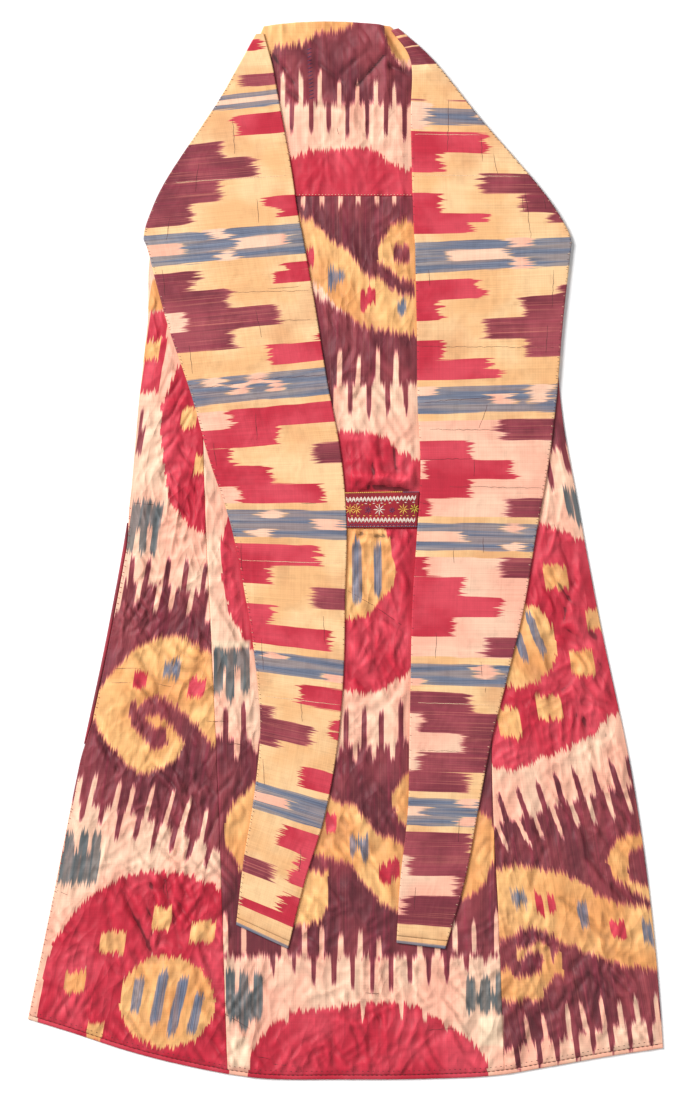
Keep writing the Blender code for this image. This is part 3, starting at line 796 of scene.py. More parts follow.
class Dyes:
    """The distance fields of the dyes over a grid of points."""

    def __init__(self, across, down, lean, seed):
        """Lean is how far the threads go across for each step down."""
        self.across = across
        self.lean = lean
        self.thread = across - lean * down
        self.group = np.floor(self.thread / THREAD_GROUP).astype(np.int64)
        jitter = hashed(self.group, self.group * 0, seed) + hashed(self.group, self.group * 0 + 1, seed) - 1
        self.down = down + GROUP_JITTER * jitter
        self.fields = {}

    def paint(self, dye, inside):
        """Adds a dye. The dyes that would cover it are taken away there, and the others stay below.
        It goes on a little way under the dyes it is cut into, so that no bare silk shows between."""
        order = DYE_ORDER.index(dye)
        under = np.zeros(self.down.shape, dtype=bool)
        for other in DYE_ORDER[order + 1:]:
            if other in self.fields:
                under |= self.fields[other] > 0
                self.fields[other] = np.minimum(self.fields[other], -inside)
        if dye == "pink":
            return
        inside = np.where(under, inside + UNDERLAY, inside)
        own = self.fields.get(dye, np.full(self.down.shape, -FAR))
        self.fields[dye] = np.maximum(own, inside)

    def shape(self, outline):
        """Distance along the threads to an outline's edge, above zero inside it."""
        points = np.array([(across - self.lean * down, down) for across, down in outline], float)
        following = np.roll(points, -1, axis=0)
        inside = np.full(self.down.shape, -FAR)
        for group in np.unique(self.group):
            thread = (group + 0.5) * THREAD_GROUP
            crosses = (points[:, 0] > thread) != (following[:, 0] > thread)
            if not crosses.any():
                continue
            start, end = points[crosses], following[crosses]
            part = (thread - start[:, 0]) / (end[:, 0] - start[:, 0])
            edges = np.sort(start[:, 1] + part * (end[:, 1] - start[:, 1]))
            chosen = self.group == group
            down = self.down[chosen]
            passed = np.searchsorted(edges, down)
            nearest = np.abs(down[:, None] - edges[None, :]).min(axis=1)
            inside[chosen] = np.where(passed % 2 == 1, nearest, -nearest)
        return inside

    def bars(self, half_width, bars):
        inside = np.full(self.down.shape, -FAR)
        for across, down, to_across, to_down in bars:
            part = (self.down - down) / (to_down - down)
            aside = np.abs(self.across - across - (to_across - across) * part)
            ends = np.minimum(self.down - min(down, to_down), max(down, to_down) - self.down)
            narrow = half_width * np.clip(0.8 + ends / 40, 0.0, 1.0)
            inside = np.maximum(inside, np.minimum(BAR_SIDE * (narrow - aside), ends))
        return inside

    def spot(self, spot):
        aside = np.abs(self.thread - (spot.across - self.lean * spot.down))
        ends = spot.half_length - np.abs(self.down - spot.down)
        return np.minimum(BAR_SIDE * (spot.half_width - aside), ends)

    def draw(self, chart):
        for item in chart:
            if isinstance(item, Spot):
                self.paint(item.dye, self.spot(item))
            elif isinstance(item, Bars):
                self.paint(item.dye, self.bars(item.half_width, item.bars))
            else:
                self.paint(item.dye, self.shape(item.outline))


def upright(places, down, to_down):
    """Bars that follow the warp, each at its own place across."""
    return [(across, down, across, to_down) for across in places]


def combed(tops, ends):
    """Bars from each top to the end with the same place in its list."""
    return [(*top, *end) for top, end in zip(tops, ends)]


WIDE = 460

CHART_UPPER = [
    Shape("gold", [(-WIDE, -20), (WIDE, -20), (WIDE, 50), (-WIDE, 50)]),
    Shape("maroon", [(-WIDE, 40), (-101, 45), (-94, 35), (-65, 32), (-47, 28), (-40, 17), (-25, 17),
                     (-8, 13),
                     (7, 8), (17, -20), (45, -20), (52, 16), (60, 45), (75, 62), (WIDE, 62), (WIDE, 112),
                     (-WIDE, 104)]),
    Bars("maroon", 2.7, [(-72, 90, -72, 144), (-46, 90, -46, 146), (-23, 90, -23, 145), (2, 95, 2, 154),
                         (28, 95, 28, 153), (53, 95, 53, 149), (78, 95, 78, 154)]),
    Bars("pink", 3.1, [(-84, 65, -84, 130), (-60, 67, -60, 130), (-35, 65, -35, 130), (-9, 78, -9, 130),
                       (15, 78, 15, 130), (40, 74, 40, 130), (64, 81, 64, 130)]),
    Shape("crimson", [(-WIDE, 185), (-70, 180), (-50, 172), (-20, 171), (10, 168), (40, 172), (60, 188),
                      (80, 196), (WIDE, 200), (WIDE, 240), (-WIDE, 240)]),
]

CHART_CENTRE = [
    # The head of the pattern, below the cross seam
    Shape("gold", [(-WIDE, 225), (WIDE, 225), (WIDE, 460), (89, 442), (52, 430), (19, 410), (-15, 375),
                   (-41, 345), (-61, 338), (-WIDE, 338)]),
    Shape("maroon", [(-WIDE, 225), (WIDE, 225), (WIDE, 270), (80, 262), (62, 268), (50, 284), (42, 300),
                     (41, 341),
                     (30, 338), (16, 320), (4, 303), (-8, 292), (-20, 290), (-28, 280), (-40, 266),
                     (-55, 258),
                     (-WIDE, 250)]),
    Shape("maroon", [(36, 318), (48, 322), (60, 334), (74, 344), (92, 348), (92, 362), (74, 360), (58, 352),
                     (44, 338)]),
    block("maroon", 74, 309, 11, 9),
    block("crimson", -50, 315, 8, 10),
    block("blue", -20, 342, 4, 13),
    block("blue", -10, 338, 9, 7),
    block("crimson", 24, 372, 5, 12),
    block("crimson", 33, 366, 6, 9),
    block("blue", 74, 380, 6, 8),
    Bars("pink", 3.4, upright((-57, -32, -7, 16, 41, 64), 225, 248)),
    Shape("maroon", [(-WIDE, 360), (-60, 360), (-48, 362), (-28, 374), (-8, 384), (12, 400), (22, 406),
                     (40, 412), (60, 414), (72, 418), (WIDE, 420), (WIDE, 480), (84, 478), (30, 480),
                     (-24, 480), (-WIDE, 480)]),
    Bars("maroon", 2.9, [(6, 470, 5, 520), (30, 470, 31, 526), (54, 470, 56, 518), (78, 470, 80, 518),
                         (-20, 470, -20, 512), (-45, 470, -45, 510)]),
    Bars("pink", 3.4, [(-8, 436, -10, 500), (18, 440, 15, 500), (43, 432, 41, 500), (67, 436, 66, 500),
                       (-34, 436, -34, 500)]),
    # The large disc in the middle
    Shape("crimson", [(-162, 680), (-168, 700), (-164, 740), (-156, 780), (-130, 830), (-90, 872),
                      (-40, 880),
                      (20, 892), (44, 891), (60, 880), (84, 864), (110, 850), (150, 820), (172, 740),
                      (176, 690), (160, 620),
                      (120, 596), (85, 578), (65, 566), (50, 551), (20, 545), (-20, 545), (-70, 552),
                      (-120, 580),
                      (-150, 630)]),
    Shape("gold", [(-40, 650), (44, 650), (52, 672), (59, 690), (60, 700), (63, 718), (67, 733), (65, 745),
                   (61, 755), (50, 763), (44, 773), (37, 781), (28, 790), (10, 793), (-20, 794), (-50, 790),
                   (-62, 760), (-66, 730), (-60, 700), (-50, 670)]),
    Bars("blue", 6.2, [(14.6, 688, 14.6, 771)]),
    Bars("blue", 5.4, [(42, 694, 42, 762), (-14, 690, -14, 768)]),
    block("pink", -60, 700, 10, 14),
    # The comb of the left edge
    Bars("green", 6.0, [(-170, 829, -170, 893), (-154, 832, -154, 902), (-134, 829, -134, 893)]),
    block("green", -151, 846, 23, 13),
    # The maroon belt with teeth up and notches down
    Shape("maroon", [(-WIDE, 950), (-180, 950), (-100, 962), (0, 966), (60, 964), (120, 950), (190, 940),
                     (WIDE, 930), (WIDE, 1030), (-WIDE, 1030)]),
    Bars("maroon", 3.2, [(-160, 914, -160, 975), (-136, 908, -136, 975), (-110, 916, -110, 980),
                         (-80, 918, -80, 980), (-50, 918, -50, 980), (-25, 918, -25, 980), (0, 918, 0, 980),
                         (24, 918, 24, 980), (47, 918, 47, 980), (73, 904, 73, 980), (100, 910, 100, 975),
                         (126, 908, 126, 970), (150, 904, 150, 965), (174, 900, 174, 960)]),
    Bars("pink", 3.6, [(-145, 938, -145, 980), (-121, 920, -121, 974), (-95, 938, -95, 984),
                       (-65, 938, -65, 986),
                       (-38, 938, -38, 986), (-12, 938, -12, 988), (12, 938, 12, 988), (37, 938, 37, 988),
                       (62, 938, 62, 988), (88, 930, 88, 980), (114, 928, 114, 978), (138, 922, 138, 974)]),
    Shape("maroon", [(-WIDE, 985), (WIDE, 980), (WIDE, 1240), (-WIDE, 1240)]),
    # The gold wave and its spots
    Shape("gold", [(-61, 1000), (-40, 1018), (-21, 1031), (-1, 1038), (12, 1038), (19, 1050), (34, 1066),
                   (41, 1080), (60, 1082), (88, 1102), (92, 1192), (72, 1188), (43, 1170), (24, 1148),
                   (10, 1128), (-1, 1120), (-12, 1116), (-30, 1112), (-50, 1104), (-70, 1100)]),
    Shape("gold", [(92, 984), (84, 992), (72, 1008), (61, 1026), (61, 1044), (70, 1060), (80, 1074),
        (92, 1080)]),
    Shape("gold", [(-62, 1120), (-40, 1126), (-22, 1130), (-22, 1180), (-36, 1196), (-54, 1206),
                   (-76, 1200),
                   (-76, 1140)]),
    block("crimson", -20, 1064, 8, 11),
    Bars("blue", 4.5, [(9, 1078, 9, 1108), (26, 1080, 26, 1116)]),
    block("blue", 18, 1092, 9, 7),
    block("crimson", 52, 1132, 8, 13),
    block("crimson", 64, 1126, 8, 12),
    Shape("gold", [(-163, 1080), (-160, 1052), (-148, 1034), (-135, 1021), (-122, 1010), (-100, 1000),
                   (-100, 1180), (-120, 1160), (-136, 1140), (-143, 1124), (-152, 1107), (-163, 1094)]),
    Shape("gold", [(160, 1030), (178, 1045), (194, 1060), (200, 1085), (196, 1120), (184, 1146),
                   (170, 1160),
                   (150, 1180), (150, 1060)]),
    Shape("maroon", [(-WIDE, 1150), (-140, 1150), (-120, 1170), (-76, 1190), (-60, 1212), (-40, 1216),
                     (-30, 1190), (-12, 1150), (6, 1150), (30, 1170), (70, 1192), (100, 1200), (140, 1180),
                     (170, 1160), (200, 1140), (WIDE, 1140), (WIDE, 1218), (110, 1226), (0, 1228),
                     (-90, 1222),
                     (-WIDE, 1214)]),
    Bars("maroon", 3.0, [(-148, 1200, -148, 1240), (-124, 1205, -124, 1243), (-97, 1206, -97, 1262),
                         (-69, 1206, -69, 1260), (-43, 1210, -43, 1277), (-16, 1210, -16, 1278),
                         (9, 1212, 9, 1282), (35, 1212, 35, 1289), (60, 1212, 60, 1285),
                         (85, 1210, 85, 1276),
                         (110, 1205, 110, 1276), (134, 1204, 134, 1273), (160, 1200, 160, 1256),
                         (185, 1196, 185, 1248)]),
    Bars("pink", 3.6, [(-160, 1180, -160, 1240), (-136, 1190, -136, 1240), (-82, 1204, -82, 1250),
                       (-55, 1198, -55, 1250), (-32, 1201, -32, 1250), (-7, 1209, -7, 1250),
                       (19, 1208, 19, 1250), (44, 1216, 44, 1250), (98, 1200, 98, 1250),
                       (122, 1200, 122, 1250),
                       (145, 1196, 145, 1240), (170, 1194, 170, 1240), (200, 1180, 200, 1240)]),
    # Combs and the arc of the next disc at the hem
    Bars("green", 6.2, [(-154, 1257, -154, 1313), (-136, 1262, -136, 1338), (-117, 1262, -117, 1324)]),
    block("green", -134, 1306, 23, 20),
    Bars("green", 6.2, [(166, 1268, 166, 1318), (185, 1268, 185, 1318), (205, 1262, 205, 1316)]),
    block("green", 185, 1298, 20, 11),
    Shape("crimson", [(-128, 1440), (-127, 1374), (-112, 1347), (-95, 1332), (-77, 1317), (-45, 1312),
                      (-5, 1307),
                      (57, 1303), (84, 1306), (104, 1315), (124, 1325), (153, 1345), (171, 1357),
                      (186, 1378),
                      (190, 1397), (192, 1440)]),
    Bars("pink", 2.6, [(-78, 1296, -78, 1330), (22, 1290, 22, 1326), (74, 1290, 74, 1322),
                       (104, 1300, 104, 1330),
                       (134, 1310, 134, 1342)]),
]

CHART_LEFT = [
    Shape("crimson", [(-215, 445), (-226, 467), (-245, 511), (-246, 555), (-242, 584), (-235, 637),
                      (-209, 670),
                      (-186, 682), (-140, 690), (-140, 440)]),
    block("gold", -209, 527, 11, 13),
    block("gold", -192, 588, 9, 13),
    # The gusset below the armhole
    block("gold", -251, 366, 10, 19),
    block("crimson", -250, 404, 12, 19),
    block("crimson", -258, 471, 12, 22),
    block("crimson", -248, 437, 8, 16),
    block("gold", -260, 437, 12, 13),
    block("maroon", -273, 534, 2, 15),
    block("maroon", -274, 560, 4, 13),
    Bars("green", 4.8, [(-281, 660, -290, 708), (-266, 636, -271, 708), (-250, 650, -257, 708)]),
    block("green", -265, 657, 21, 18),
    # The upper belt
    Shape("maroon", [(-WIDE, 742), (-314, 745), (-261, 750), (-181, 761), (-130, 768), (-130, 1112),
                     (-172, 1096),
                     (-207, 1080), (-241, 1067), (-274, 1053), (-314, 1043), (-359, 1035), (-WIDE, 1025)]),
    Bars("maroon", 3.1, combed([(-283, 712), (-261, 718), (-235, 717), (-211, 718), (-186, 722)],
                               [(-289, 760), (-269, 765), (-243, 765), (-218, 770), (-193, 775)])),
    Bars("pink", 3.6, combed([(-295, 735), (-271, 735), (-245, 739), (-226, 739), (-201, 742), (-177, 749)],
                             [(-305, 787), (-279, 777), (-254, 787), (-235, 787), (-210, 790),
                                 (-185, 801)])),
    # The gold hook
    Shape("gold", [(-226, 811), (-250, 818), (-273, 826), (-302, 853), (-331, 890), (-338, 919),
                   (-329, 946),
                   (-302, 978), (-285, 996), (-270, 1004), (-243, 992), (-223, 979), (-214, 960),
                   (-150, 990),
                   (-150, 850), (-190, 832), (-206, 822)]),
    Shape("maroon", [(-243, 898), (-221, 919), (-198, 939), (-173, 971), (-150, 1000), (-150, 1040),
                     (-217, 982), (-214, 960), (-226, 940), (-243, 924), (-262, 916), (-263, 902)]),
    Shape("maroon", [(-290, 907), (-279, 904), (-277, 918), (-265, 901), (-241, 898), (-241, 917),
                     (-263, 918),
                     (-266, 923), (-266, 934), (-261, 939), (-237, 940), (-238, 960), (-261, 962),
                     (-269, 950),
                     (-279, 939), (-287, 931)]),
    block("blue", -231, 860, 11, 11),
    block("crimson", -273, 874, 9, 11),
    block("crimson", -198, 886, 11, 11),
    # The lower comb
    Bars("maroon", 3.2, combed([(-343, 1015), (-319, 1022), (-295, 1030), (-269, 1036), (-246, 1045),
                                (-221, 1052),
                                (-197, 1062), (-174, 1074)],
                               [(-352, 1060), (-327, 1065), (-305, 1084), (-281, 1087), (-257, 1096),
                                (-233, 1101),
                                (-210, 1111), (-186, 1119)])),
    Bars("pink", 3.4, combed([(-352, 1001), (-332, 1001), (-299, 1009), (-281, 1013), (-255, 1013),
                              (-227, 1020),
                              (-207, 1034), (-184, 1045)],
                             [(-362, 1050), (-343, 1054), (-312, 1066), (-294, 1072), (-272, 1080),
                              (-248, 1090),
                              (-226, 1098), (-197, 1112)])),
    Bars("green", 6.0, [(-366, 1077, -370, 1118), (-347, 1077, -351, 1118), (-330, 1077, -334, 1118)]),
    block("green", -354, 1125, 26, 21),
    # The disc at the hem
    Shape("crimson", [(-412, 1440), (-410, 1313), (-404, 1269), (-390, 1225), (-363, 1186), (-334, 1157),
                      (-285, 1133), (-255, 1129), (-217, 1133), (-168, 1152), (-120, 1170), (-120, 1440)]),
    block("gold", -360, 1276, 14, 14),
    block("gold", -310, 1223, 17, 14),
    block("gold", -244, 1192, 13, 15),
    block("gold", -190, 1210, 17, 13),
    block("gold", -334, 1343, 11, 13),
    disc("gold", -238, 1303, 64, 61),
    Bars("blue", 7.0, combed([(-273, 1269), (-241, 1262), (-215, 1270), (-193, 1291)],
                             [(-281, 1318), (-255, 1333), (-233, 1347), (-207, 1346)])),
]

CHART_RIGHT = [
    Shape("maroon", [(240, 455), (300, 455), (300, 560), (240, 580)]),
    Bars("maroon", 3.1, [(284, 545, 297, 600), (264, 560, 274, 616)]),
    Bars("green", 4.5, [(291, 617, 299, 656), (302, 622, 312, 672), (312, 636, 320, 672)]),
    Shape("crimson", [(140, 700), (245, 665), (265, 670), (291, 677), (318, 694), (331, 700), (430, 770),
                      (430, 900), (362, 916), (342, 931), (332, 946), (306, 960), (277, 972), (247, 984),
                      (221, 995), (185, 987), (140, 985)]),
    block("gold", 279, 738, 16, 16),
    block("gold", 328, 795, 9, 14),
    block("gold", 314, 852, 16, 16),
    block("gold", 270, 911, 17, 16),
    block("gold", 217, 931, 15, 20),
    disc("gold", 230, 829, 50, 56),
    Bars("blue", 5.5, [(242, 787, 263, 841), (225, 809, 239, 851)]),
    # The upper belt
    Shape("maroon", [(140, 1080), (192, 1069), (245, 1057), (291, 1039), (338, 1025), (391, 1015),
                     (WIDE, 1005),
                     (WIDE, 1322), (418, 1325), (340, 1334), (297, 1346), (245, 1357), (205, 1367),
                     (140, 1380)]),
    Bars("maroon", 3.2, combed([(203, 1029), (228, 1021), (253, 1011), (277, 1000), (302, 995), (328, 994),
                                (352, 987), (374, 982)],
                               [(219, 1080), (245, 1070), (269, 1060), (293, 1052), (317, 1042),
                                (340, 1038),
                                (366, 1034), (388, 1030)])),
    Bars("pink", 3.4, combed([(190, 1040), (215, 1036), (240, 1026), (264, 1020), (288, 1010), (313, 1004),
                              (338, 1000), (362, 994)],
                             [(214, 1100), (245, 1096), (262, 1087), (287, 1083), (311, 1073), (332, 1069),
                              (357, 1062), (380, 1052)])),
    # The gold wave, its open ring and its hook
    Shape("gold", [(140, 1140), (192, 1125), (227, 1119), (253, 1122), (277, 1128), (303, 1137),
                   (321, 1145),
                   (329, 1157), (362, 1169), (430, 1179), (430, 1264), (418, 1264), (359, 1254),
                   (321, 1239),
                   (291, 1230), (274, 1216), (247, 1206), (227, 1213), (192, 1232), (140, 1250)]),
    Shape("gold", [(345, 1116), (352, 1096), (366, 1082), (384, 1076), (430, 1070), (430, 1100),
                   (390, 1100),
                   (376, 1108), (376, 1138), (392, 1146), (430, 1146), (430, 1182), (380, 1158),
                   (356, 1138)]),
    Shape("gold", [(196, 1256), (217, 1256), (221, 1267), (231, 1267), (242, 1265), (262, 1259),
                   (261, 1240),
                   (250, 1239), (236, 1243), (232, 1251), (229, 1249), (225, 1231), (231, 1229),
                   (242, 1227),
                   (250, 1220), (260, 1221), (271, 1229), (272, 1243), (276, 1245), (279, 1228),
                   (283, 1228),
                   (287, 1255), (289, 1270), (277, 1265), (275, 1275), (264, 1290), (261, 1304),
                   (238, 1300),
                   (227, 1306), (213, 1302), (196, 1302)]),
    block("blue", 230, 1164, 10, 9),
    block("blue", 315, 1186, 7, 15),
    block("blue", 401, 1210, 7, 15),
    block("crimson", 257, 1172, 5, 13),
    block("crimson", 273, 1171, 5, 11),
    block("crimson", 356, 1206, 5, 10),
    block("crimson", 367, 1206, 5, 11),
    # The lower comb
    Bars("maroon", 3.2, combed([(222, 1335), (253, 1335), (277, 1330), (301, 1322), (325, 1317),
                                (349, 1312),
                                (373, 1310), (400, 1306)],
                               [(230, 1393), (259, 1389), (282, 1384), (309, 1381), (329, 1369),
                                (354, 1367),
                                (379, 1365), (406, 1362)])),
    Bars("pink", 3.4, combed([(238, 1321), (261, 1318), (293, 1306), (311, 1303), (338, 1298), (362, 1301),
                              (384, 1294), (411, 1290)],
                             [(246, 1375), (270, 1370), (299, 1362), (321, 1352), (346, 1347), (368, 1344),
                              (391, 1342), (416, 1342)])),
]

# The sleeves' ikat: rows of blocks that start at the inner edge or run to the outer one. From_unit and
# to_unit are places along the sleeve, and start and end are millimetres from the inner edge.
EDGE = 900.0
UNIT_LENGTH = 185.0
BAND_HALF = {0: 0.05, 1: 0.06, 2: 0.11, 3: 0.095, 4: 0.1, 5: 0.078, 6: 0.1, 7: 0.02}
STRIP = 0.05
ROWS = 5
Patch = namedtuple("Patch", "dye from_unit to_unit start end")


def rowed(dye, unit, row, start, end, upper=0.0, lower=0.0):
    """A block of one row, which upper and lower make shorter at its edges."""
    first = unit + BAND_HALF[unit] + STRIP
    height = (1 - BAND_HALF[unit] - BAND_HALF[unit + 1] - 2 * STRIP) / ROWS
    return Patch(dye, first + height * (row - 1 + upper), first + height * (row - lower), start, end)


def band_bit(unit, part, start, end, dye="pink"):
    """A light bit in a blue band: in its upper stripe, its middle or its lower stripe."""
    half = BAND_HALF[unit]
    low, high = {"upper": (-1.05, -0.35), "middle": (-0.36, 0.36), "lower": (0.35, 1.05)}[part]
    return Patch(dye, unit + low * half, unit + high * half, start, end)


PATCHES_RIGHT = [
    Patch("maroon", 0.2, 0.63, -EDGE, EDGE),
    Patch("gold", 0.36, 0.385, -EDGE, EDGE),
    Patch("gold", 0.47, 0.49, -EDGE, 22),
    Patch("maroon", 0.88, 0.94, -EDGE, 22),
    Patch("maroon", 0.885, 0.935, 48, 82),
    rowed("crimson", 1, 1, -EDGE, 101), rowed("crimson", 1, 2, -EDGE, 40), rowed("maroon", 1, 3, 94, EDGE),
    rowed("crimson", 1, 4, -EDGE, 36), rowed("maroon", 1, 4, 146, EDGE),
    rowed("crimson", 1, 5, -EDGE, 97, lower=0.5), rowed("crimson", 1, 5, -EDGE, 77, upper=0.5),
    rowed("maroon", 1, 5, 186, EDGE, lower=0.4),
    rowed("crimson", 2, 1, -EDGE, 80, lower=0.5), rowed("crimson", 2, 1, -EDGE, 94, upper=0.5),
    rowed("maroon", 2, 1, 192, EDGE, upper=0.5),
    rowed("crimson", 2, 2, -EDGE, 31), rowed("maroon", 2, 2, 145, EDGE), rowed("maroon", 2, 3, 93, EDGE),
    rowed("crimson", 2, 4, -EDGE, 36), rowed("maroon", 2, 4, 150, EDGE),
    rowed("crimson", 2, 5, -EDGE, 95, lower=0.5), rowed("crimson", 2, 5, -EDGE, 111, upper=0.5),
    rowed("maroon", 3, 1, 110, EDGE), rowed("crimson", 3, 2, -EDGE, 66), rowed("crimson", 3, 3, 5, 121),
    rowed("crimson", 3, 4, -EDGE, 64), rowed("maroon", 3, 5, 121, EDGE), rowed("crimson", 3, 5, -EDGE, 15),
    rowed("maroon", 4, 1, 120, EDGE), rowed("crimson", 4, 1, -EDGE, 17), rowed("crimson", 4, 2, -EDGE, 64),
    rowed("crimson", 4, 3, -EDGE, 117), rowed("crimson", 4, 4, -EDGE, 57), rowed("maroon", 4, 5, 101, EDGE),
    rowed("maroon", 5, 1, -EDGE, 77), rowed("pink", 5, 2, -EDGE, 16), rowed("maroon", 5, 2, 16, EDGE),
    rowed("pink", 5, 3, -EDGE, 73), rowed("maroon", 5, 3, 73, EDGE), rowed("pink", 5, 4, -EDGE, 16),
    rowed("maroon", 5, 4, 16, EDGE), rowed("maroon", 5, 5, -EDGE, 78),
    rowed("maroon", 6, 1, -EDGE, 86), rowed("pink", 6, 2, -EDGE, 13), rowed("maroon", 6, 2, 13, EDGE),
    rowed("pink", 6, 3, -EDGE, 76), rowed("maroon", 6, 3, 76, EDGE), rowed("pink", 6, 4, -EDGE, 10),
    rowed("maroon", 6, 4, 10, EDGE), rowed("maroon", 6, 5, -EDGE, EDGE),
        rowed("gold", 6, 5, 64, EDGE, upper=0.6),
    Patch("gold", 6.84, 7.0, -EDGE, EDGE),
]
BAND_BITS_RIGHT = [
    Patch("pink", 0.9, 1.1, -EDGE, 25), band_bit(1, "middle", 88, EDGE),
    band_bit(2, "upper", 126, 156), band_bit(2, "lower", 128, 154), band_bit(2, "middle", 44, 124),
    band_bit(3, "upper", -EDGE, 24), band_bit(3, "upper", 148, 177), band_bit(3, "middle", 97, 126),
    band_bit(3, "middle", 152, 174),
    band_bit(4, "upper", 115, 139), band_bit(4, "lower", 117, 140), band_bit(4, "middle", -EDGE, 63),
    band_bit(5, "upper", 85, 112), band_bit(5, "middle", 88, 114), band_bit(5, "lower", -EDGE, 12),
    band_bit(6, "middle", -EDGE, 24), band_bit(6, "upper", 68, 94), band_bit(6, "lower", 70, 92),
]
PATCHES_LEFT = [
    Patch("crimson", 0.4, 0.52, 8, 32), Patch("maroon", 0.76, 0.93, -EDGE, 44),
    rowed("crimson", 1, 1, -EDGE, 63), rowed("maroon", 1, 2, 88, EDGE, upper=0.2),
        rowed("maroon", 1, 3, 50, EDGE),
    rowed("maroon", 1, 4, 100, EDGE), rowed("crimson", 1, 5, -EDGE, 44, lower=0.5),
    rowed("crimson", 1, 5, -EDGE, 24, upper=0.5), rowed("maroon", 1, 5, 142, EDGE),
    rowed("crimson", 2, 1, -EDGE, 28, lower=0.6), rowed("crimson", 2, 1, -EDGE, 47, upper=0.4),
    rowed("maroon", 2, 1, 149, EDGE, lower=0.5), rowed("maroon", 2, 1, 161, EDGE, upper=0.4),
    rowed("maroon", 2, 2, 114, EDGE), rowed("maroon", 2, 3, 53, 172),
    rowed("pink", 2, 3, 172, EDGE), rowed("maroon", 2, 4, 117, EDGE),
    rowed("crimson", 2, 4, -EDGE, 6, upper=0.6), rowed("crimson", 2, 5, -EDGE, 70),
    rowed("crimson", 3, 1, -EDGE, 136), rowed("pink", 3, 1, 136, EDGE), rowed("crimson", 3, 2, 81, EDGE),
    rowed("maroon", 3, 3, -EDGE, 31), rowed("crimson", 3, 3, 144, EDGE), rowed("crimson", 3, 4, 96, EDGE),
    rowed("crimson", 3, 5, 29, EDGE), rowed("pink", 3, 5, 140, EDGE, upper=0.1),
    rowed("crimson", 4, 1, 37, EDGE), rowed("crimson", 4, 2, 102, EDGE), rowed("maroon", 4, 3, -EDGE, 40),
    rowed("crimson", 4, 4, 96, EDGE), rowed("crimson", 4, 5, 20, EDGE),
    rowed("crimson", 5, 1, -EDGE, 56),
    rowed("crimson", 5, 2, -EDGE, 11, upper=0.4), rowed("crimson", 5, 3, -EDGE, 11, lower=0.6),
    rowed("maroon", 5, 3, 37, EDGE), rowed("maroon", 5, 2, 92, EDGE, upper=0.4),
    rowed("maroon", 5, 4, 84, EDGE, lower=0.6), rowed("crimson", 5, 5, -EDGE, 41),
    rowed("crimson", 6, 1, -EDGE, 50), rowed("crimson", 6, 2, -EDGE, 17),
        rowed("crimson", 6, 3, -EDGE, 20, lower=0.5),
    rowed("maroon", 6, 3, 49, EDGE, lower=0.2),
    rowed("crimson", 6, 4, -EDGE, 24), rowed("crimson", 6, 5, -EDGE, 78),
    Patch("gold", 6.84, 7.0, -EDGE, EDGE),
]
BAND_BITS_LEFT = [
    band_bit(1, "middle", -EDGE, EDGE),
    band_bit(2, "upper", 93, 122), band_bit(2, "middle", 20, 90), band_bit(2, "middle", 160, EDGE),
    band_bit(2, "lower", 93, 116),
    band_bit(3, "upper", 136, 162), band_bit(3, "upper", 78, 104), band_bit(3, "middle", 103, 126),
    band_bit(3, "middle", 57, 79),
    band_bit(4, "middle", 5, 42), band_bit(4, "upper", 86, 113), band_bit(4, "lower", 101, 127),
    band_bit(5, "upper", 79, 106), band_bit(5, "lower", -EDGE, 24),
    band_bit(6, "middle", 52, EDGE),
]
PINK_UNITS = {"left": (), "right": (3, 4)}


class SleeveDyes(Dyes):
    """The same painting where the threads run across a sleeve."""

    def __init__(self, unit, from_inner, seed):
        self.unit = unit
        self.group = np.floor(unit * UNIT_LENGTH / THREAD_GROUP).astype(np.int64)
        jitter = hashed(self.group, self.group * 0, seed) + hashed(self.group, self.group * 0 + 1, seed) - 1
        self.down = from_inner + 1.6 * GROUP_JITTER * jitter
        self.fields = {}

    def patch(self, patch):
        middle = (patch.from_unit + patch.to_unit) / 2
        half = (patch.to_unit - patch.from_unit) / 2
        sides = BAR_SIDE * UNIT_LENGTH * (half - np.abs(self.unit - middle))
        ends = np.minimum(self.down - patch.start, patch.end - self.down)
        self.paint(patch.dye, np.minimum(sides, ends))

    def ground(self, pink_units):
        for unit in range(0, 7):
            if unit not in pink_units:
                self.patch(Patch("gold", unit, unit + 1, -EDGE, EDGE))

    def bands(self, bits):
        for unit, half in BAND_HALF.items():
            self.patch(Patch("gold", unit - half - STRIP, unit + half + STRIP, -EDGE, EDGE))
            self.patch(Patch("blue", unit - half, unit + half, -EDGE, EDGE))
        for bit in bits:
            self.patch(bit)


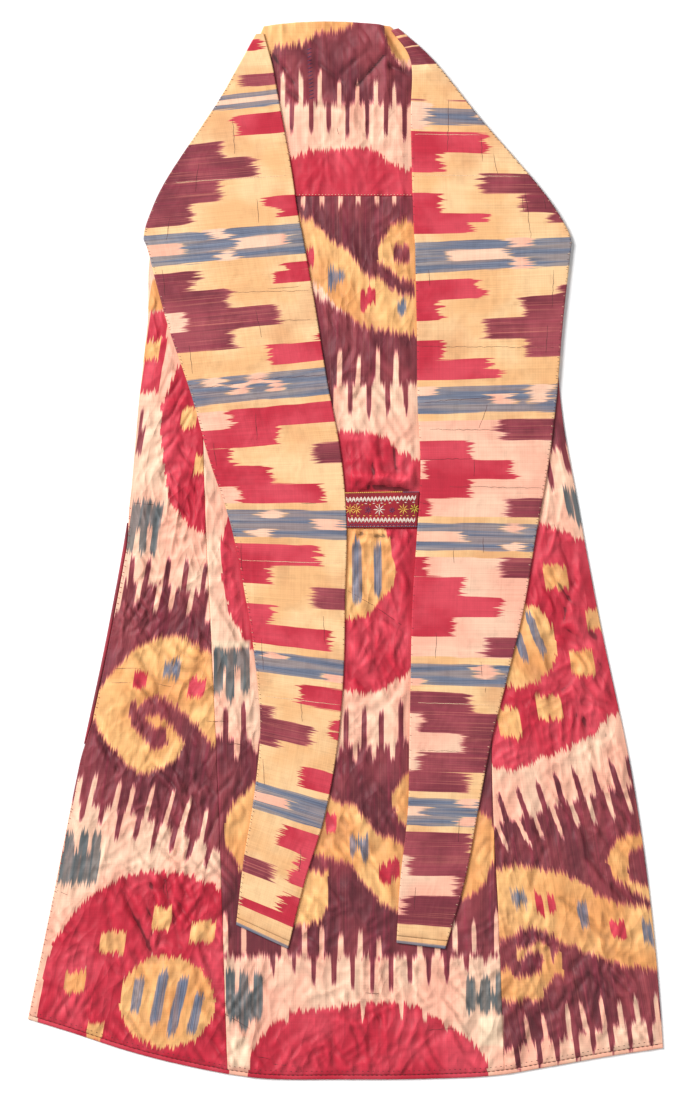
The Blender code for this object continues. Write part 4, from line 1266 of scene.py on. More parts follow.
# Materials
class Nodes:
    """A short way to lay out a material's nodes."""

    def __init__(self, name):
        self.material = bpy.data.materials.new(name)
        self.material.use_nodes = True
        self.tree = self.material.node_tree
        self.surface = self.tree.nodes["Principled BSDF"]

    def node(self, kind, **settings):
        made = self.tree.nodes.new(kind)
        for key, value in settings.items():
            setattr(made, key, value)
        return made

    def put(self, value, socket):
        if isinstance(value, bpy.types.NodeSocket):
            self.tree.links.new(value, socket)
        elif isinstance(value, (tuple, list)) and len(value) == 3 and socket.type == "RGBA":
            socket.default_value = (*value, 1.0)
        else:
            socket.default_value = value

    def math(self, operation, first, second=0.0, third=0.0):
        made = self.node("ShaderNodeMath", operation=operation)
        for value, socket in zip((first, second, third), made.inputs):
            self.put(value, socket)
        return made.outputs[0]

    def mix(self, part, first, second, blend="MIX"):
        made = self.node("ShaderNodeMix", data_type="RGBA", blend_type=blend)
        self.put(part, made.inputs["Factor"])
        self.put(first, made.inputs["A"])
        self.put(second, made.inputs["B"])
        return made.outputs["Result"]

    def step(self, value, low, high, to_low=0.0, to_high=1.0):
        """A soft step from one value to another between two limits."""
        made = self.node("ShaderNodeMapRange", interpolation_type="SMOOTHSTEP")
        for part, key in ((value, "Value"), (low, "From Min"), (high, "From Max"), (to_low, "To Min"),
                          (to_high, "To Max")):
            self.put(part, made.inputs[key])
        return made.outputs["Result"]

    def threads(self):
        return self.node("ShaderNodeUVMap", uv_map="threads").outputs["UV"]

    def stretched(self, vector, scale, offset=(0.0, 0.0, 0.0)):
        made = self.node("ShaderNodeMapping")
        self.put(vector, made.inputs["Vector"])
        made.inputs["Scale"].default_value = scale
        made.inputs["Location"].default_value = offset
        return made.outputs["Vector"]

    def noise(self, vector, scale, detail=1.0, offset=0.0):
        """Noise with its own scale along each of the two directions."""
        made = self.node("ShaderNodeTexNoise", noise_dimensions="2D")
        self.put(self.stretched(vector, (*scale, 1.0), (offset, offset * 0.7, 0.0)), made.inputs["Vector"])
        made.inputs["Scale"].default_value = 1.0
        made.inputs["Detail"].default_value = detail
        return made.outputs["Fac"]

    def folded(self, vector, turn, scale, detail, offset):
        """Creases along one direction: sharp troughs between rounded folds, from 0 to 1."""
        made = self.node("ShaderNodeMapping")
        self.put(vector, made.inputs["Vector"])
        made.inputs["Rotation"].default_value = (0.0, 0.0, math.radians(turn))
        wave = self.noise(made.outputs["Vector"], scale, detail, offset)
        return self.math("ABSOLUTE", self.math("MULTIPLY_ADD", wave, 2.0, -1.0))

    def channels(self, attribute):
        read = self.node("ShaderNodeAttribute", attribute_name=attribute)
        parts = self.node("ShaderNodeSeparateColor")
        self.put(read.outputs["Color"], parts.inputs["Color"])
        return [*parts.outputs, read.outputs["Alpha"]]

    def bump(self, height, strength, distance):
        made = self.node("ShaderNodeBump")
        self.put(height, made.inputs["Height"])
        made.inputs["Strength"].default_value = strength
        made.inputs["Distance"].default_value = distance
        self.put(made.outputs["Normal"], self.surface.inputs["Normal"])


def linear(red, green, blue):
    """A colour as the eye reads it on a screen, from 0 to 255, as linear light."""
    parts = []
    for part in (red, green, blue):
        part = part / 255
        parts.append(part / 12.92 if part <= 0.04045 else ((part + 0.055) / 1.055) ** 2.4)
    return tuple(parts)


PINK = linear(246, 179, 153)
CREAM = linear(245, 199, 170)
GREEN = linear(82, 94, 98)
FRINGE = linear(168, 44, 84)
PLUM = linear(146, 46, 68)
WORN_MAROON = linear(206, 124, 106)
DEEP_MAROON = linear(70, 28, 40)
PALE = linear(250, 226, 192)
STAIN = linear(186, 126, 84)
BROWN = linear(206, 140, 96)
TONES = {
    "gold": (linear(243, 184, 119), linear(229, 157, 94)),
    "crimson": (linear(190, 37, 58), linear(212, 68, 84)),
    "maroon": (linear(106, 42, 52), linear(140, 58, 66)),
    "blue": (linear(74, 90, 118), linear(112, 124, 146)),
}
SLEEVE_GOLD = (linear(246, 202, 150), linear(236, 180, 124))
SLEEVE_MAROON = (linear(124, 46, 58), linear(160, 70, 80))


CRUMPLE_HEIGHT = 2.2
WEAVE_HEIGHT = 0.09


def ikat_silk(name, gold_tones, maroon_tones, fine, group, softness, worn):
    """Ikat: dyed threads whose colours end at uneven places along the warp."""
    nodes = Nodes(name)
    threads = nodes.threads()
    fine_threads = nodes.noise(threads, (620, 18), 1.0)
    groups = nodes.noise(threads, (210, 9), 1.0, 3.7)
    feather = nodes.math("MULTIPLY", nodes.math("SUBTRACT", fine_threads, 0.5), 2 * fine / DYE_SPAN)
    feather = nodes.math("MULTIPLY_ADD", nodes.math("SUBTRACT", groups, 0.5), 2 * group / DYE_SPAN, feather)
    crimson, gold, maroon, blue = nodes.channels("dye")
    # The last tint channel is the painted shading of the creases
    green, pale, stain, fade = nodes.channels("tint")
    soft = softness / DYE_SPAN

    def covered(channel, shift=0.0, wider=1.0, raggedness=1.0):
        """How far a dye covers the threads, where shift grows it by that many millimetres."""
        moved = nodes.math("MULTIPLY_ADD", feather, raggedness, channel)
        middle = 0.5 - shift / DYE_SPAN
        return nodes.step(moved, middle - soft * wider, middle + soft * wider)

    cloudy = nodes.noise(threads, (14, 10), 4.0, 8.1)
    uneven = nodes.step(cloudy, 0.36, 0.66)
    colour = nodes.mix(uneven, PINK, CREAM)
    streaks = nodes.noise(threads, (1400, 6), 2.0, 5.3)
    broad = nodes.noise(threads, (150, 7), 2.0, 6.9)
    gold_cloth = nodes.mix(uneven, *gold_tones)
    blot = nodes.step(nodes.noise(threads, (11, 13), 3.0, 15.2), 0.5, 0.72, 0.0, 0.4)
    gold_cloth = nodes.mix(blot, gold_cloth, BROWN)
    colour = nodes.mix(covered(gold, 1.0, 1.2), colour, gold_cloth)
    colour = nodes.mix(covered(crimson, 0.6), colour, nodes.mix(uneven, *TONES["crimson"]))
    fringe = nodes.math("MULTIPLY", covered(maroon, 4.0), 0.7)
    colour = nodes.mix(fringe, colour, FRINGE)
    maroon_cloth = nodes.mix(uneven, *maroon_tones)
    maroon_cloth = nodes.mix(nodes.step(broad, 0.52, 0.74, 0.0, 0.45), maroon_cloth, PLUM)
    worn_threads = nodes.noise(threads, (900, 5), 2.0, 21.4)
    maroon_cloth = nodes.mix(nodes.step(worn_threads, 0.58, 0.74, 0.0, worn), maroon_cloth, WORN_MAROON)
    maroon_cloth = nodes.mix(nodes.step(worn_threads, 0.44, 0.3, 0.0, 0.3), maroon_cloth, DEEP_MAROON)
    colour = nodes.mix(covered(maroon), colour, maroon_cloth)
    thin_blue = nodes.step(broad, 0.36, 0.66, 0.96, 0.76)
    blue_cover = nodes.math("MULTIPLY", covered(blue, 0.0, 2.0, 1.5), thin_blue)
    colour = nodes.mix(blue_cover, colour, nodes.mix(nodes.step(streaks, 0.34, 0.66), *TONES["blue"]))
    thin_green = nodes.step(broad, 0.36, 0.66, 0.97, 0.84)
    green_cover = nodes.math("MULTIPLY", covered(green, 0.0, 2.0, 1.3), thin_green)
    colour = nodes.mix(green_cover, colour, GREEN)
    ragged = nodes.math("MULTIPLY_ADD", nodes.math("SUBTRACT", cloudy, 0.5), 0.3, stain)
    colour = nodes.mix(nodes.step(ragged, 0.46, 0.54, 0.0, 0.34), colour, STAIN)
    colour = nodes.mix(nodes.step(pale, 0.45, 0.55, 0.0, 0.6), colour, PALE)
    weft = nodes.noise(threads, (9, 900), 1.0, 2.1)
    spots = nodes.noise(threads, (46, 60), 4.0, 12.4)
    shade = nodes.step(streaks, 0.3, 0.7, 0.91, 1.07)
    shade = nodes.math("MULTIPLY", shade, nodes.step(weft, 0.3, 0.7, 0.96, 1.03))
    shade = nodes.math("MULTIPLY", shade, nodes.step(spots, 0.28, 0.46, 0.92, 1.0))
    # Painted shade in the troughs and under the deep folds, and painted light on the ridges
    shade = nodes.math("MULTIPLY", shade, nodes.step(fade, 0.1, 0.9, 0.76, 1.12))
    shade = nodes.math("MULTIPLY", shade, nodes.step(fade, 0.02, 0.2, 0.35, 1.0))
    toned = nodes.node("ShaderNodeVectorMath", operation="SCALE")
    nodes.put(colour, toned.inputs[0])
    nodes.put(shade, toned.inputs["Scale"])
    nodes.put(toned.outputs[0], nodes.surface.inputs["Base Color"])
    nodes.put(nodes.step(streaks, 0.2, 0.8, 0.54, 0.68), nodes.surface.inputs["Roughness"])
    nodes.surface.inputs["Specular IOR Level"].default_value = 0.32
    nodes.surface.inputs["Sheen Weight"].default_value = 0.06
    nodes.surface.inputs["Sheen Roughness"].default_value = 0.4
    weave = nodes.math("ADD", nodes.math("MULTIPLY", fine_threads, 0.6), weft)
    crumple = nodes.channels("form")[0]
    folds = nodes.folded(threads, 24, (44, 17), 1.0, 1.7)
    folds = nodes.math("ADD", folds, nodes.folded(threads, -30, (40, 16), 1.0, 4.3))
    folds = nodes.math("ADD", folds, nodes.folded(threads, -4, (64, 20), 0.6, 9.2))
    folds = nodes.math("MULTIPLY", folds, nodes.step(crumple, 0.5, 0.98, 0.04, 1.0))
    height = nodes.math("MULTIPLY_ADD", folds, CRUMPLE_HEIGHT, nodes.math("MULTIPLY", weave, WEAVE_HEIGHT))
    nodes.bump(height, 1.0, METRES)
    return nodes.material


def plain_cloth(name, colour, darker, roughness=0.7):
    """A plain woven cloth with an uneven tone."""
    nodes = Nodes(name)
    threads = nodes.threads()
    weave = nodes.noise(threads, (700, 500), 1.0)
    uneven = nodes.noise(threads, (25, 18), 3.0, 2.2)
    tone = nodes.mix(nodes.step(uneven, 0.3, 0.7), colour, darker)
    tone = nodes.mix(nodes.step(weave, 0.3, 0.7, 0.0, 0.3), tone, darker)
    nodes.put(tone, nodes.surface.inputs["Base Color"])
    nodes.surface.inputs["Roughness"].default_value = roughness
    nodes.bump(weave, 0.3, 0.0003)
    return nodes.material


# The robe's panels
def walk(stations, stretches):
    """Outer and inner grids of a section that is walked across: stretches of cloth and turned folds."""
    outer_across, outer_height, inner_across, inner_height, loose = [], [], [], [], []
    for stretch in stretches:
        outer_across.append(stretch[0])
        outer_height.append(stretch[1])
        inner_across.append(stretch[2])
        inner_height.append(stretch[3])
        loose.append(stretch[4])
    outer_across = np.concatenate(outer_across, axis=1)
    outer_height = np.concatenate(outer_height, axis=1)
    inner_across = np.concatenate(inner_across, axis=1)
    inner_height = np.concatenate(inner_height, axis=1)
    loose = np.concatenate(loose, axis=1)
    down = placed_down(stations[:, None], outer_across)
    lift = body_relief(outer_across, down) * loose
    ends = np.minimum(stations - stations[0], stations[-1] - stations)[:, None]
    outer_height = outer_height + lift - roll_off(ends) * loose
    inner_height = inner_height + lowest_near(lift, INNER_STEP)
    outer = np.stack([outer_across, down, outer_height], axis=2)
    inner = np.stack([inner_across, down, inner_height], axis=2)
    # worn holds the crumple, the pale patches and the painted shading: painted shade in troughs and under
    # deep folds, painted light on ridges
    worn = {
        "fade": hollows(lift) + ridges(DARK_FOLDS, outer_across, down) * loose,
        "crumple": FIELD_LIMIT * body_crumple(outer_across, down) * loose,
        "pale": patched(PALE_PATCHES, outer_across, down),
    }
    return outer, inner, worn


def flat_stretch(start, end, steps):
    """Cloth that lies on the surface, from one line to another."""
    part = np.linspace(0, 1, steps + 1)
    across = start[:, None] + (end - start)[:, None] * part
    return across, 0 * across, across, 0 * across + CLOTH, 0 * across


def back_stretch(start, end, step, seam_start=False, seam_end=False):
    """The back's cloth, rolled down at its seams."""
    width = float(np.abs(end - start).max())
    part = spread_out(0.0, width, step) / width
    across = start[:, None] + (end - start)[:, None] * part
    height = np.full(across.shape, BACK_TOP)
    if seam_start:
        height = height - roll_off(part * width)[None, :]
    if seam_end:
        height = height - roll_off((1 - part) * width)[None, :]
    return across, height, across, 0 * across + BACK_TOP - CLOTH, 0 * across + 1


FOLD_STEPS = 8


def turned_fold(centre, side, upward):
    """The round of a folded edge, between the stretches beside it."""
    angles = np.linspace(-math.pi / 2, math.pi / 2, FOLD_STEPS + 1)[1:-1]
    if not upward:
        angles = angles[::-1]
    out, rise = np.cos(angles)[None, :], np.sin(angles)[None, :]
    blank = 0 * centre[:, None] * out
    return (centre[:, None] + side * FOLD_RADIUS * out, blank + FOLD_RADIUS + FOLD_RADIUS * rise,
            centre[:, None] + side * FOLD_INNER_RADIUS * out,
            blank + FOLD_RADIUS + FOLD_INNER_RADIUS * rise, blank)


class Lines:
    """Where the folds, the seams and the fronts' edges cross each row."""

    def __init__(self, stations):
        self.left = line_on_rows(left_fold, stations) + FOLD_RADIUS
        self.right = line_on_rows(right_fold, stations) - FOLD_RADIUS
        self.left_seam = line_on_rows(left_seam, stations)
        self.right_seam = line_on_rows(right_seam, stations)
        middle = line_on_rows(middle_front, stations)
        gap = body_line("front_gap", stations)
        self.front_left = middle - gap
        self.front_right = middle + gap


UPPER_MARGIN = 6.0


def upper_section(stations):
    lines = Lines(stations)
    front_left = np.maximum(lines.front_left, lines.left + UPPER_MARGIN)
    front_right = np.minimum(lines.front_right, lines.right - UPPER_MARGIN)
    return [
        flat_stretch(front_left, lines.left, 8),
        turned_fold(lines.left, -1, True),
        back_stretch(lines.left, lines.right, GRID),
        turned_fold(lines.right, 1, False),
        flat_stretch(lines.right, front_right, 8),
    ]


def centre_section(stations):
    lines = Lines(stations)
    return [back_stretch(lines.left_seam + SEAM_GAP / 2, lines.right_seam - SEAM_GAP / 2, GRID, True, True)]


def side_left_section(stations):
    lines = Lines(stations)
    return [
        flat_stretch(lines.left + UNDER_REACH, lines.left, 16),
        turned_fold(lines.left, -1, True),
        back_stretch(lines.left, lines.left_seam - SEAM_GAP / 2, GRID, seam_end=True),
    ]


def side_right_section(stations):
    lines = Lines(stations)
    return [
        back_stretch(lines.right_seam + SEAM_GAP / 2, lines.right, GRID, seam_start=True),
        turned_fold(lines.right, 1, False),
        flat_stretch(lines.right, lines.right - UNDER_REACH, 16),
    ]


def front_left_section(stations):
    lines = Lines(stations)
    return [flat_stretch(lines.left + UNDER_REACH + SEAM_GAP, lines.front_left, 24)]


def front_right_section(stations):
    lines = Lines(stations)
    return [flat_stretch(lines.front_right, lines.right - UNDER_REACH - SEAM_GAP, 24)]


BINDING_WALK = 5.0


def hem_section(stations):
    lines = Lines(stations)
    return [
        flat_stretch(lines.front_left, lines.left, 40),
        turned_fold(lines.left, -1, True),
        back_stretch(lines.left, lines.right, BINDING_WALK),
        turned_fold(lines.right, 1, False),
        flat_stretch(lines.right, lines.front_right, 40),
    ]


LEAN_LEFT = -0.15
LEAN_RIGHT = 0.16


def body_dyes(chart, lean, grid, seed):
    """The distance fields of a chart over a panel, and the panel's places on its threads."""
    across, down = grid[..., 0], grid[..., 1]
    dyes = Dyes(across, down, lean, seed)
    dyes.draw(chart)
    return dyes.fields, np.stack([dyes.thread, down], axis=2)


STRIP_STEP = 5


def add_panel(name, stations, section, chart, lean, seed, materials, node):
    outer, inner, worn = walk(stations, section(stations))
    fields, warp = body_dyes(chart, lean, outer, seed)
    # Adds the crumple, the pale patches and the painted shading
    fields.update(worn)
    piece = add_shell(name, outer, inner, warp, fields, materials)
    settle(piece, "body_silk", node)
    return piece


def settle(piece, slot, *nodes):
    """Tie a piece to its body and hide the solids that it stands for. The slot is not used."""
    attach(piece, "root")
    if nodes:
        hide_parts(*nodes)


silk = ikat_silk("body_ikat", TONES["gold"], TONES["maroon"], 9.0, 5.0, 2.2, 0.14)
sleeve_ikat = ikat_silk("sleeve_ikat", SLEEVE_GOLD, SLEEVE_MAROON, 12.0, 8.0, 2.0, 0.5)
lining = plain_cloth("lining_cotton", linear(214, 150, 128), linear(176, 96, 88))

HEM_ROWS = 6
FRONT_ROWS = 120
seam_start = CROSS_SEAM_DOWN + SEAM_GAP / 2
hem_end = HEM_DOWN - HEM_BINDING - SEAM_GAP
upper_rows = spread_out(0.0, CROSS_SEAM_DOWN - SEAM_GAP / 2, GRID)
lower_rows = spread_out(seam_start, hem_end, GRID)
hem_rows = np.linspace(HEM_DOWN - HEM_BINDING, HEM_DOWN, HEM_ROWS)
front_rows = np.linspace(seam_start, hem_end, FRONT_ROWS)
cloth = (silk, lining)

add_panel("back_yoke", upper_rows, upper_section, CHART_UPPER, 0.0, 31, cloth, "back_upper")
add_panel("back_middle", lower_rows, centre_section, CHART_CENTRE, 0.0, 32, cloth, "back_centre")
add_panel("gore_left", lower_rows, side_left_section, CHART_LEFT, LEAN_LEFT, 33, cloth, "side_left")
add_panel("gore_right", lower_rows, side_right_section, CHART_RIGHT, LEAN_RIGHT, 34, cloth, "side_right")
add_panel("front_panel_left", front_rows, front_left_section, CHART_CENTRE, 0.0, 35, cloth, "front_left")
add_panel("front_panel_right", front_rows, front_right_section, CHART_CENTRE, 0.0, 36, cloth, "front_right")


def add_hem():
    """The hem's binding, a strip of the same silk, which carries on the colours beside it."""
    outer, inner, _ = walk(hem_rows, hem_section(hem_rows))
    across = outer[..., 0]
    middle = (across > left_seam(HEM_DOWN)) & (across < right_seam(HEM_DOWN))
    centre, warp = body_dyes(CHART_CENTRE, 0.0, outer, 32)
    left, _ = body_dyes(CHART_LEFT, LEAN_LEFT, outer, 33)
    right, _ = body_dyes(CHART_RIGHT, LEAN_RIGHT, outer, 34)
    fields = {}
    for dye in DYES:
        blank = np.full(across.shape, -FAR)
        beside = np.where(across < 0, left.get(dye, blank), right.get(dye, blank))
        fields[dye] = np.where(middle, centre.get(dye, blank), beside)
    # The binding gets no painted shading
    fields["fade"] = np.zeros(across.shape)
    piece = add_shell("hem_strip", outer, inner, warp, fields, cloth, row_step=STRIP_STEP, column_step=4)
    settle(piece, "crimson_binding", "hem_binding")
    return piece


hem_strip = add_hem()

# The sleeves
MEASURE_POINTS = 2000
SLEEVE_ROWS = 521
CUFF_ROWS = 6
SLEEVE_UPPER = 88
SLEEVE_LOWER = 16
SLEEVE_FOLD = 8


def sleeve_edges(sections, at):
    index = np.arange(len(sections), dtype=float)
    lines = {key: smooth(index, [getattr(row, key) for row in sections], at) for key in SleeveSection._fields}
    inner = np.stack([lines["inner_across"], lines["inner_down"]], axis=1)
    outer = np.stack([lines["outer_across"], lines["outer_down"]], axis=1)
    return inner, outer, lines["unit"]


def sleeve_rings(inner_edge, outer_edge):
    """The rings of a flattened sleeve, outside and inside, and each point's distance from the inner
    edge."""
    half = (SLEEVE_TOP - SLEEVE_BASE) / 2
    slot = SLEEVE_SLOT / 2
    width = np.hypot(*(outer_edge - inner_edge).T)
    direction = (outer_edge - inner_edge) / width[:, None]
    angles = np.linspace(math.pi / 2, -math.pi / 2, SLEEVE_FOLD + 1)[1:-1]
    rows = np.ones((len(width), 1))
    upper = half + (width[:, None] - 2 * half) * np.linspace(0, 1, SLEEVE_UPPER + 1)
    lower = half + (width[:, None] - 2 * half) * np.linspace(1, 0, SLEEVE_LOWER + 1)
    rings = []
    for radius in (half, slot):
        far = width[:, None] - half + radius * np.cos(angles)
        near = half - radius * np.cos(angles) * rows
        along = np.concatenate([upper, far, lower, near], axis=1)
        height = np.concatenate([
            radius * np.ones((1, SLEEVE_UPPER + 1)) * rows, radius * np.sin(angles) * rows,
            -radius * np.ones((1, SLEEVE_LOWER + 1)) * rows, -radius * np.sin(angles) * rows,
        ], axis=1)
        across = inner_edge[:, :1] + along * direction[:, :1]
        down = inner_edge[:, 1:] + along * direction[:, 1:]
        from_edges = np.minimum(along, width[:, None] - along)
        large = ridges(SLEEVE_FOLDS, across, down) * ease(from_edges / FOLD_FADE)
        fine = crinkles(SLEEVE_CRINKLES, across, down) * ease(from_edges / CRINKLE_FADE)
        lift = np.maximum(large + fine + 0.25, -0.2) * (height > radius * 0.9)
        if radius == half:
            # worn here is painted shade in the sleeve's troughs and painted light on its ridges
            worn = hollows(lift)
        else:
            lift = np.minimum(lowest_near(lift, INNER_STEP), lift)
        rings.append(np.stack([across, down, SLEEVE_BASE + half + height + lift], axis=2))
    return rings[0], rings[1], along, worn


def sleeve_places(sections, rows):
    """Rows along a sleeve, closer where the sections are closer, and where its binding starts."""
    dense = np.linspace(0, len(sections) - 1, MEASURE_POINTS)
    inner, outer, _ = sleeve_edges(sections, dense)
    middle = (inner + outer) / 2
    length = np.concatenate([[0], np.cumsum(np.hypot(*np.diff(middle, axis=0).T))])
    cloth_end = length[-1] - CUFF_BINDING - SEAM_GAP
    cloth = np.interp(np.linspace(0, cloth_end, rows), length, dense)
    cuff = np.interp(np.linspace(cloth_end + SEAM_GAP, length[-1], CUFF_ROWS), length, dense)
    return cloth, cuff, length[-1]


def add_sleeve(side, sections, patches, bits, seed):
    """A sleeve as a flat tube of cloth with its binding. Returns the binding."""
    cloth_rows, cuff_rows, length = sleeve_places(sections, SLEEVE_ROWS)
    pieces = []
    for name, rows, step in (("sleeve_cloth_" + side, cloth_rows, INNER_STEP),
                             ("cuff_strip_" + side, cuff_rows, STRIP_STEP)):
        inner_edge, outer_edge, unit = sleeve_edges(sections, rows)
        outer, inner, along, worn = sleeve_rings(inner_edge, outer_edge)
        units = np.repeat(unit[:, None], along.shape[1], axis=1)
        dyes = SleeveDyes(units, along, seed)
        dyes.ground(PINK_UNITS[side])
        for patch in patches:
            dyes.patch(patch)
        dyes.bands(bits)
        # Painted shade in the troughs and painted light on the ridges
        dyes.fields["fade"] = worn
        dyes.fields["stain"] = patched(STAINS, outer[..., 0], outer[..., 1])
        warp = np.stack([units * UNIT_LENGTH, along], axis=2)
        piece = add_shell(name, outer, inner, warp, dyes.fields, (sleeve_ikat, lining), closed=True,
                          row_step=step, column_step=SLEEVE_FOLD // 2)
        pieces.append(piece)
    settle(pieces[0], "sleeve_silk", "sleeve_" + side)
    settle(pieces[1], "blue_binding", "cuff_binding_" + side)
    return pieces[1]


cuff_left = add_sleeve("left", SLEEVE_LEFT, PATCHES_LEFT, BAND_BITS_LEFT, 41)
cuff_right = add_sleeve("right", SLEEVE_RIGHT, PATCHES_RIGHT, BAND_BITS_RIGHT, 42)


# The band between the sleeves and the crimson edging
BAND_ROWS = 22
BAND_COLUMNS = 40
BAND_EDGE_DROP = 0.8


def add_band():
    """The link band, bowed a little from sleeve to sleeve, with soft long edges."""
    down = np.linspace(BAND_DOWN, BAND_END_DOWN, BAND_ROWS)
    start = sleeve_span(SLEEVE_LEFT, down)[1] + SEAM_GAP
    end = sleeve_span(SLEEVE_RIGHT, down)[0] - SEAM_GAP
    part = np.linspace(0, 1, BAND_COLUMNS)
    across = start[:, None] + (end - start)[:, None] * part
    bow = BAND_BOW * np.sin(math.pi * part) + 0 * across
    edge = np.minimum(down - down[0], down[-1] - down)[:, None]
    top = BAND_BASE + BAND_THICKNESS + bow - BAND_EDGE_DROP * np.exp(-edge)
    outer = np.stack([across, down[:, None] + 0 * across, top], axis=2)
    inner = np.stack([across, down[:, None] + 0 * across, BAND_BASE + bow], axis=2)
    warp = np.stack([across, down[:, None] + 0 * across], axis=2)
    crimson = plain_cloth("band_crimson", linear(156, 14, 34), linear(122, 8, 24), 0.75)
    piece = add_shell("band_strip", outer, inner, warp, {}, (crimson, lining), row_step=3, column_step=3)
    settle(piece, "band_cloth", "link_band")


EDGING_STEP = 2.0
EDGING_COLUMNS = 6


def add_edging():
    """The crimson edging that peeks out past the left fold."""
    stations = np.arange(EDGING_START, EDGING_END, EDGING_STEP)
    fold = line_on_rows(left_fold, stations)
    down = placed_down(stations, fold)
    width = edging_width(down) - SEAM_GAP
    kept = width >= EDGING_LEAST_WIDTH
    inside, width, down = fold[kept] - SEAM_GAP, width[kept], down[kept]
    part = np.linspace(0, 1, EDGING_COLUMNS)
    across = inside[:, None] - width[:, None] * part
    crown = EDGING_THICKNESS * np.sqrt(np.clip(1 - (2 * part - 1) ** 2, 0.05, 1)) * (0.92 + 0 * across)
    outer = np.stack([across, down[:, None] + 0 * across, crown], axis=2)
    inner = np.stack([across, down[:, None] + 0 * across, 0 * across], axis=2)
    warp = np.stack([across, down[:, None] + 0 * across], axis=2)
    crimson = plain_cloth("edging_crimson", linear(158, 34, 52), linear(112, 22, 38), 0.6)
    piece = add_shell("edging_strip", outer, inner, warp, {}, (crimson, crimson), row_step=2, column_step=1)
    settle(piece, "crimson_binding", "side_edging_left")
    return piece


add_band()
edging_strip = add_edging()


# Stitches, embroidery and splits in the silk, as thin strands that follow a surface
Strands = namedtuple("Strands", "material radius strokes")
STRAND_SIDES = 5


def rounded(inside, radius):
    """How far a folded edge of the given radius lies below the cloth's top."""
    return radius - np.sqrt(np.maximum(radius ** 2 - np.maximum(radius - inside, 0.0) ** 2, 0.0))


def sleeve_surface(sections):
    """The height of a sleeve's upper face."""
    def height(across, down):
        left, right = sleeve_span(sections, down)
        inside = np.clip(np.minimum(across - left, right - across), 0.0, None)
        half = (SLEEVE_TOP - SLEEVE_BASE) / 2
        large = ridges(SLEEVE_FOLDS, across, down) * ease(inside / FOLD_FADE)
        fine = crinkles(SLEEVE_CRINKLES, across, down) * ease(inside / CRINKLE_FADE)
        return SLEEVE_TOP - rounded(inside, half) + np.maximum(large + fine + 0.25, -0.2) * (inside > half)
    return height


def back_surface(across, down):
    """The height of the back's upper face."""
    inside = np.clip(inside_folds(across, down), 0.0, None)
    return BACK_TOP - rounded(inside, FOLD_RADIUS) + body_relief(across, down)


def band_surface(across, down):
    """The height of the band's upper face."""
    left = sleeve_span(SLEEVE_LEFT, down)[1]
    right = sleeve_span(SLEEVE_RIGHT, down)[0]
    part = np.clip((across - left) / (right - left), 0.0, 1.0)
    edge = np.clip(np.minimum(down - BAND_DOWN, BAND_END_DOWN - down), 0.0, None)
    return BAND_BASE + BAND_THICKNESS + BAND_BOW * np.sin(math.pi * part) - BAND_EDGE_DROP * np.exp(-edge)


def add_strands(name, surface, lots, slot):
    """Tapered strands along strokes of places across and down, which lie half sunk in the surface."""
    points, faces, kinds = [], [], []
    angles = np.linspace(0, 2 * math.pi, STRAND_SIDES, endpoint=False)
    for kind, lot in enumerate(lots):
        for stroke in lot.strokes:
            line = np.array(stroke, float)
            run = np.gradient(line, axis=0)
            run = run / np.maximum(np.hypot(run[:, 0], run[:, 1]), 0.001)[:, None]
            thick = lot.radius * (0.4 + 0.6 * np.sin(math.pi * np.linspace(0.08, 0.92, len(line))))
            aside = np.cos(angles)[None, :] * thick[:, None]
            rise = np.sin(angles)[None, :] * thick[:, None]
            across = line[:, 0][:, None] - run[:, 1][:, None] * aside
            down = line[:, 1][:, None] + run[:, 0][:, None] * aside
            height = surface(line[:, 0], line[:, 1])[:, None] + rise
            base = len(points)
            points.extend(np.stack([across, down, height], axis=2).reshape(-1, 3))
            for ring in range(len(line) - 1):
                for side in range(STRAND_SIDES):
                    after = (side + 1) % STRAND_SIDES
                    start = base + ring * STRAND_SIDES
                    faces.append((start + side, start + after, start + STRAND_SIDES + after,
                                  start + STRAND_SIDES + side))
            faces.append(tuple(base + side for side in reversed(range(STRAND_SIDES))))
            last = base + (len(line) - 1) * STRAND_SIDES
            faces.append(tuple(last + side for side in range(STRAND_SIDES)))
            kinds.extend([kind] * ((len(line) - 1) * STRAND_SIDES + 2))
    mesh = bpy.data.meshes.new(name)
    places = np.array(points)
    mesh.from_pydata(world(places).tolist(), [], faces)
    mesh.validate()
    for lot in lots:
        mesh.materials.append(lot.material)
    mesh.polygons.foreach_set("material_index", np.array(kinds, dtype=np.int32))
    mesh.shade_smooth()
    add_thread_map(mesh, places[:, :2] * METRES)
    piece = link(name, mesh)
    settle(piece, slot)
    return piece


def straight(across, down, to_across, to_down, count=3):
    part = np.linspace(0, 1, count)
    return [(across + (to_across - across) * at, down + (to_down - down) * at) for at in part]


def wavering(across, down, to_across, to_down, seed, sway=1.4):
    """A split or a loose thread, which wanders a little from its line."""
    length = math.hypot(to_across - across, to_down - down)
    count = max(int(length / 5), 3)
    line = []
    for step, (x, y) in enumerate(straight(across, down, to_across, to_down, count)):
        shake = sway * (float(hashed(np.int64(step), np.int64(seed), 5)) - 0.5)
        line.append((x + shake * (to_down - down) / length, y + shake * (to_across - across) / length))
    return line


def zigzag(start, start_down, end, end_down, teeth, depth):
    """Short strokes up and down along a line, a pair for each tooth."""
    corners = []
    for step in range(2 * teeth + 1):
        part = step / (2 * teeth)
        swing = depth if step % 2 else -depth
        corners.append((start + (end - start) * part, start_down + (end_down - start_down) * part + swing))
    return [straight(*corners[step], *corners[step + 1]) for step in range(2 * teeth)]


def star(across, down, reach, rays=8):
    """Strokes that run out from a middle, which stays free."""
    strokes = []
    for ray in range(rays):
        turn = 2 * math.pi * ray / rays
        out_across, out_down = math.cos(turn), math.sin(turn)
        strokes.append(straight(across + 0.8 * out_across, down + 0.8 * out_down,
                                across + reach * out_across, down + reach * out_down))
    return strokes


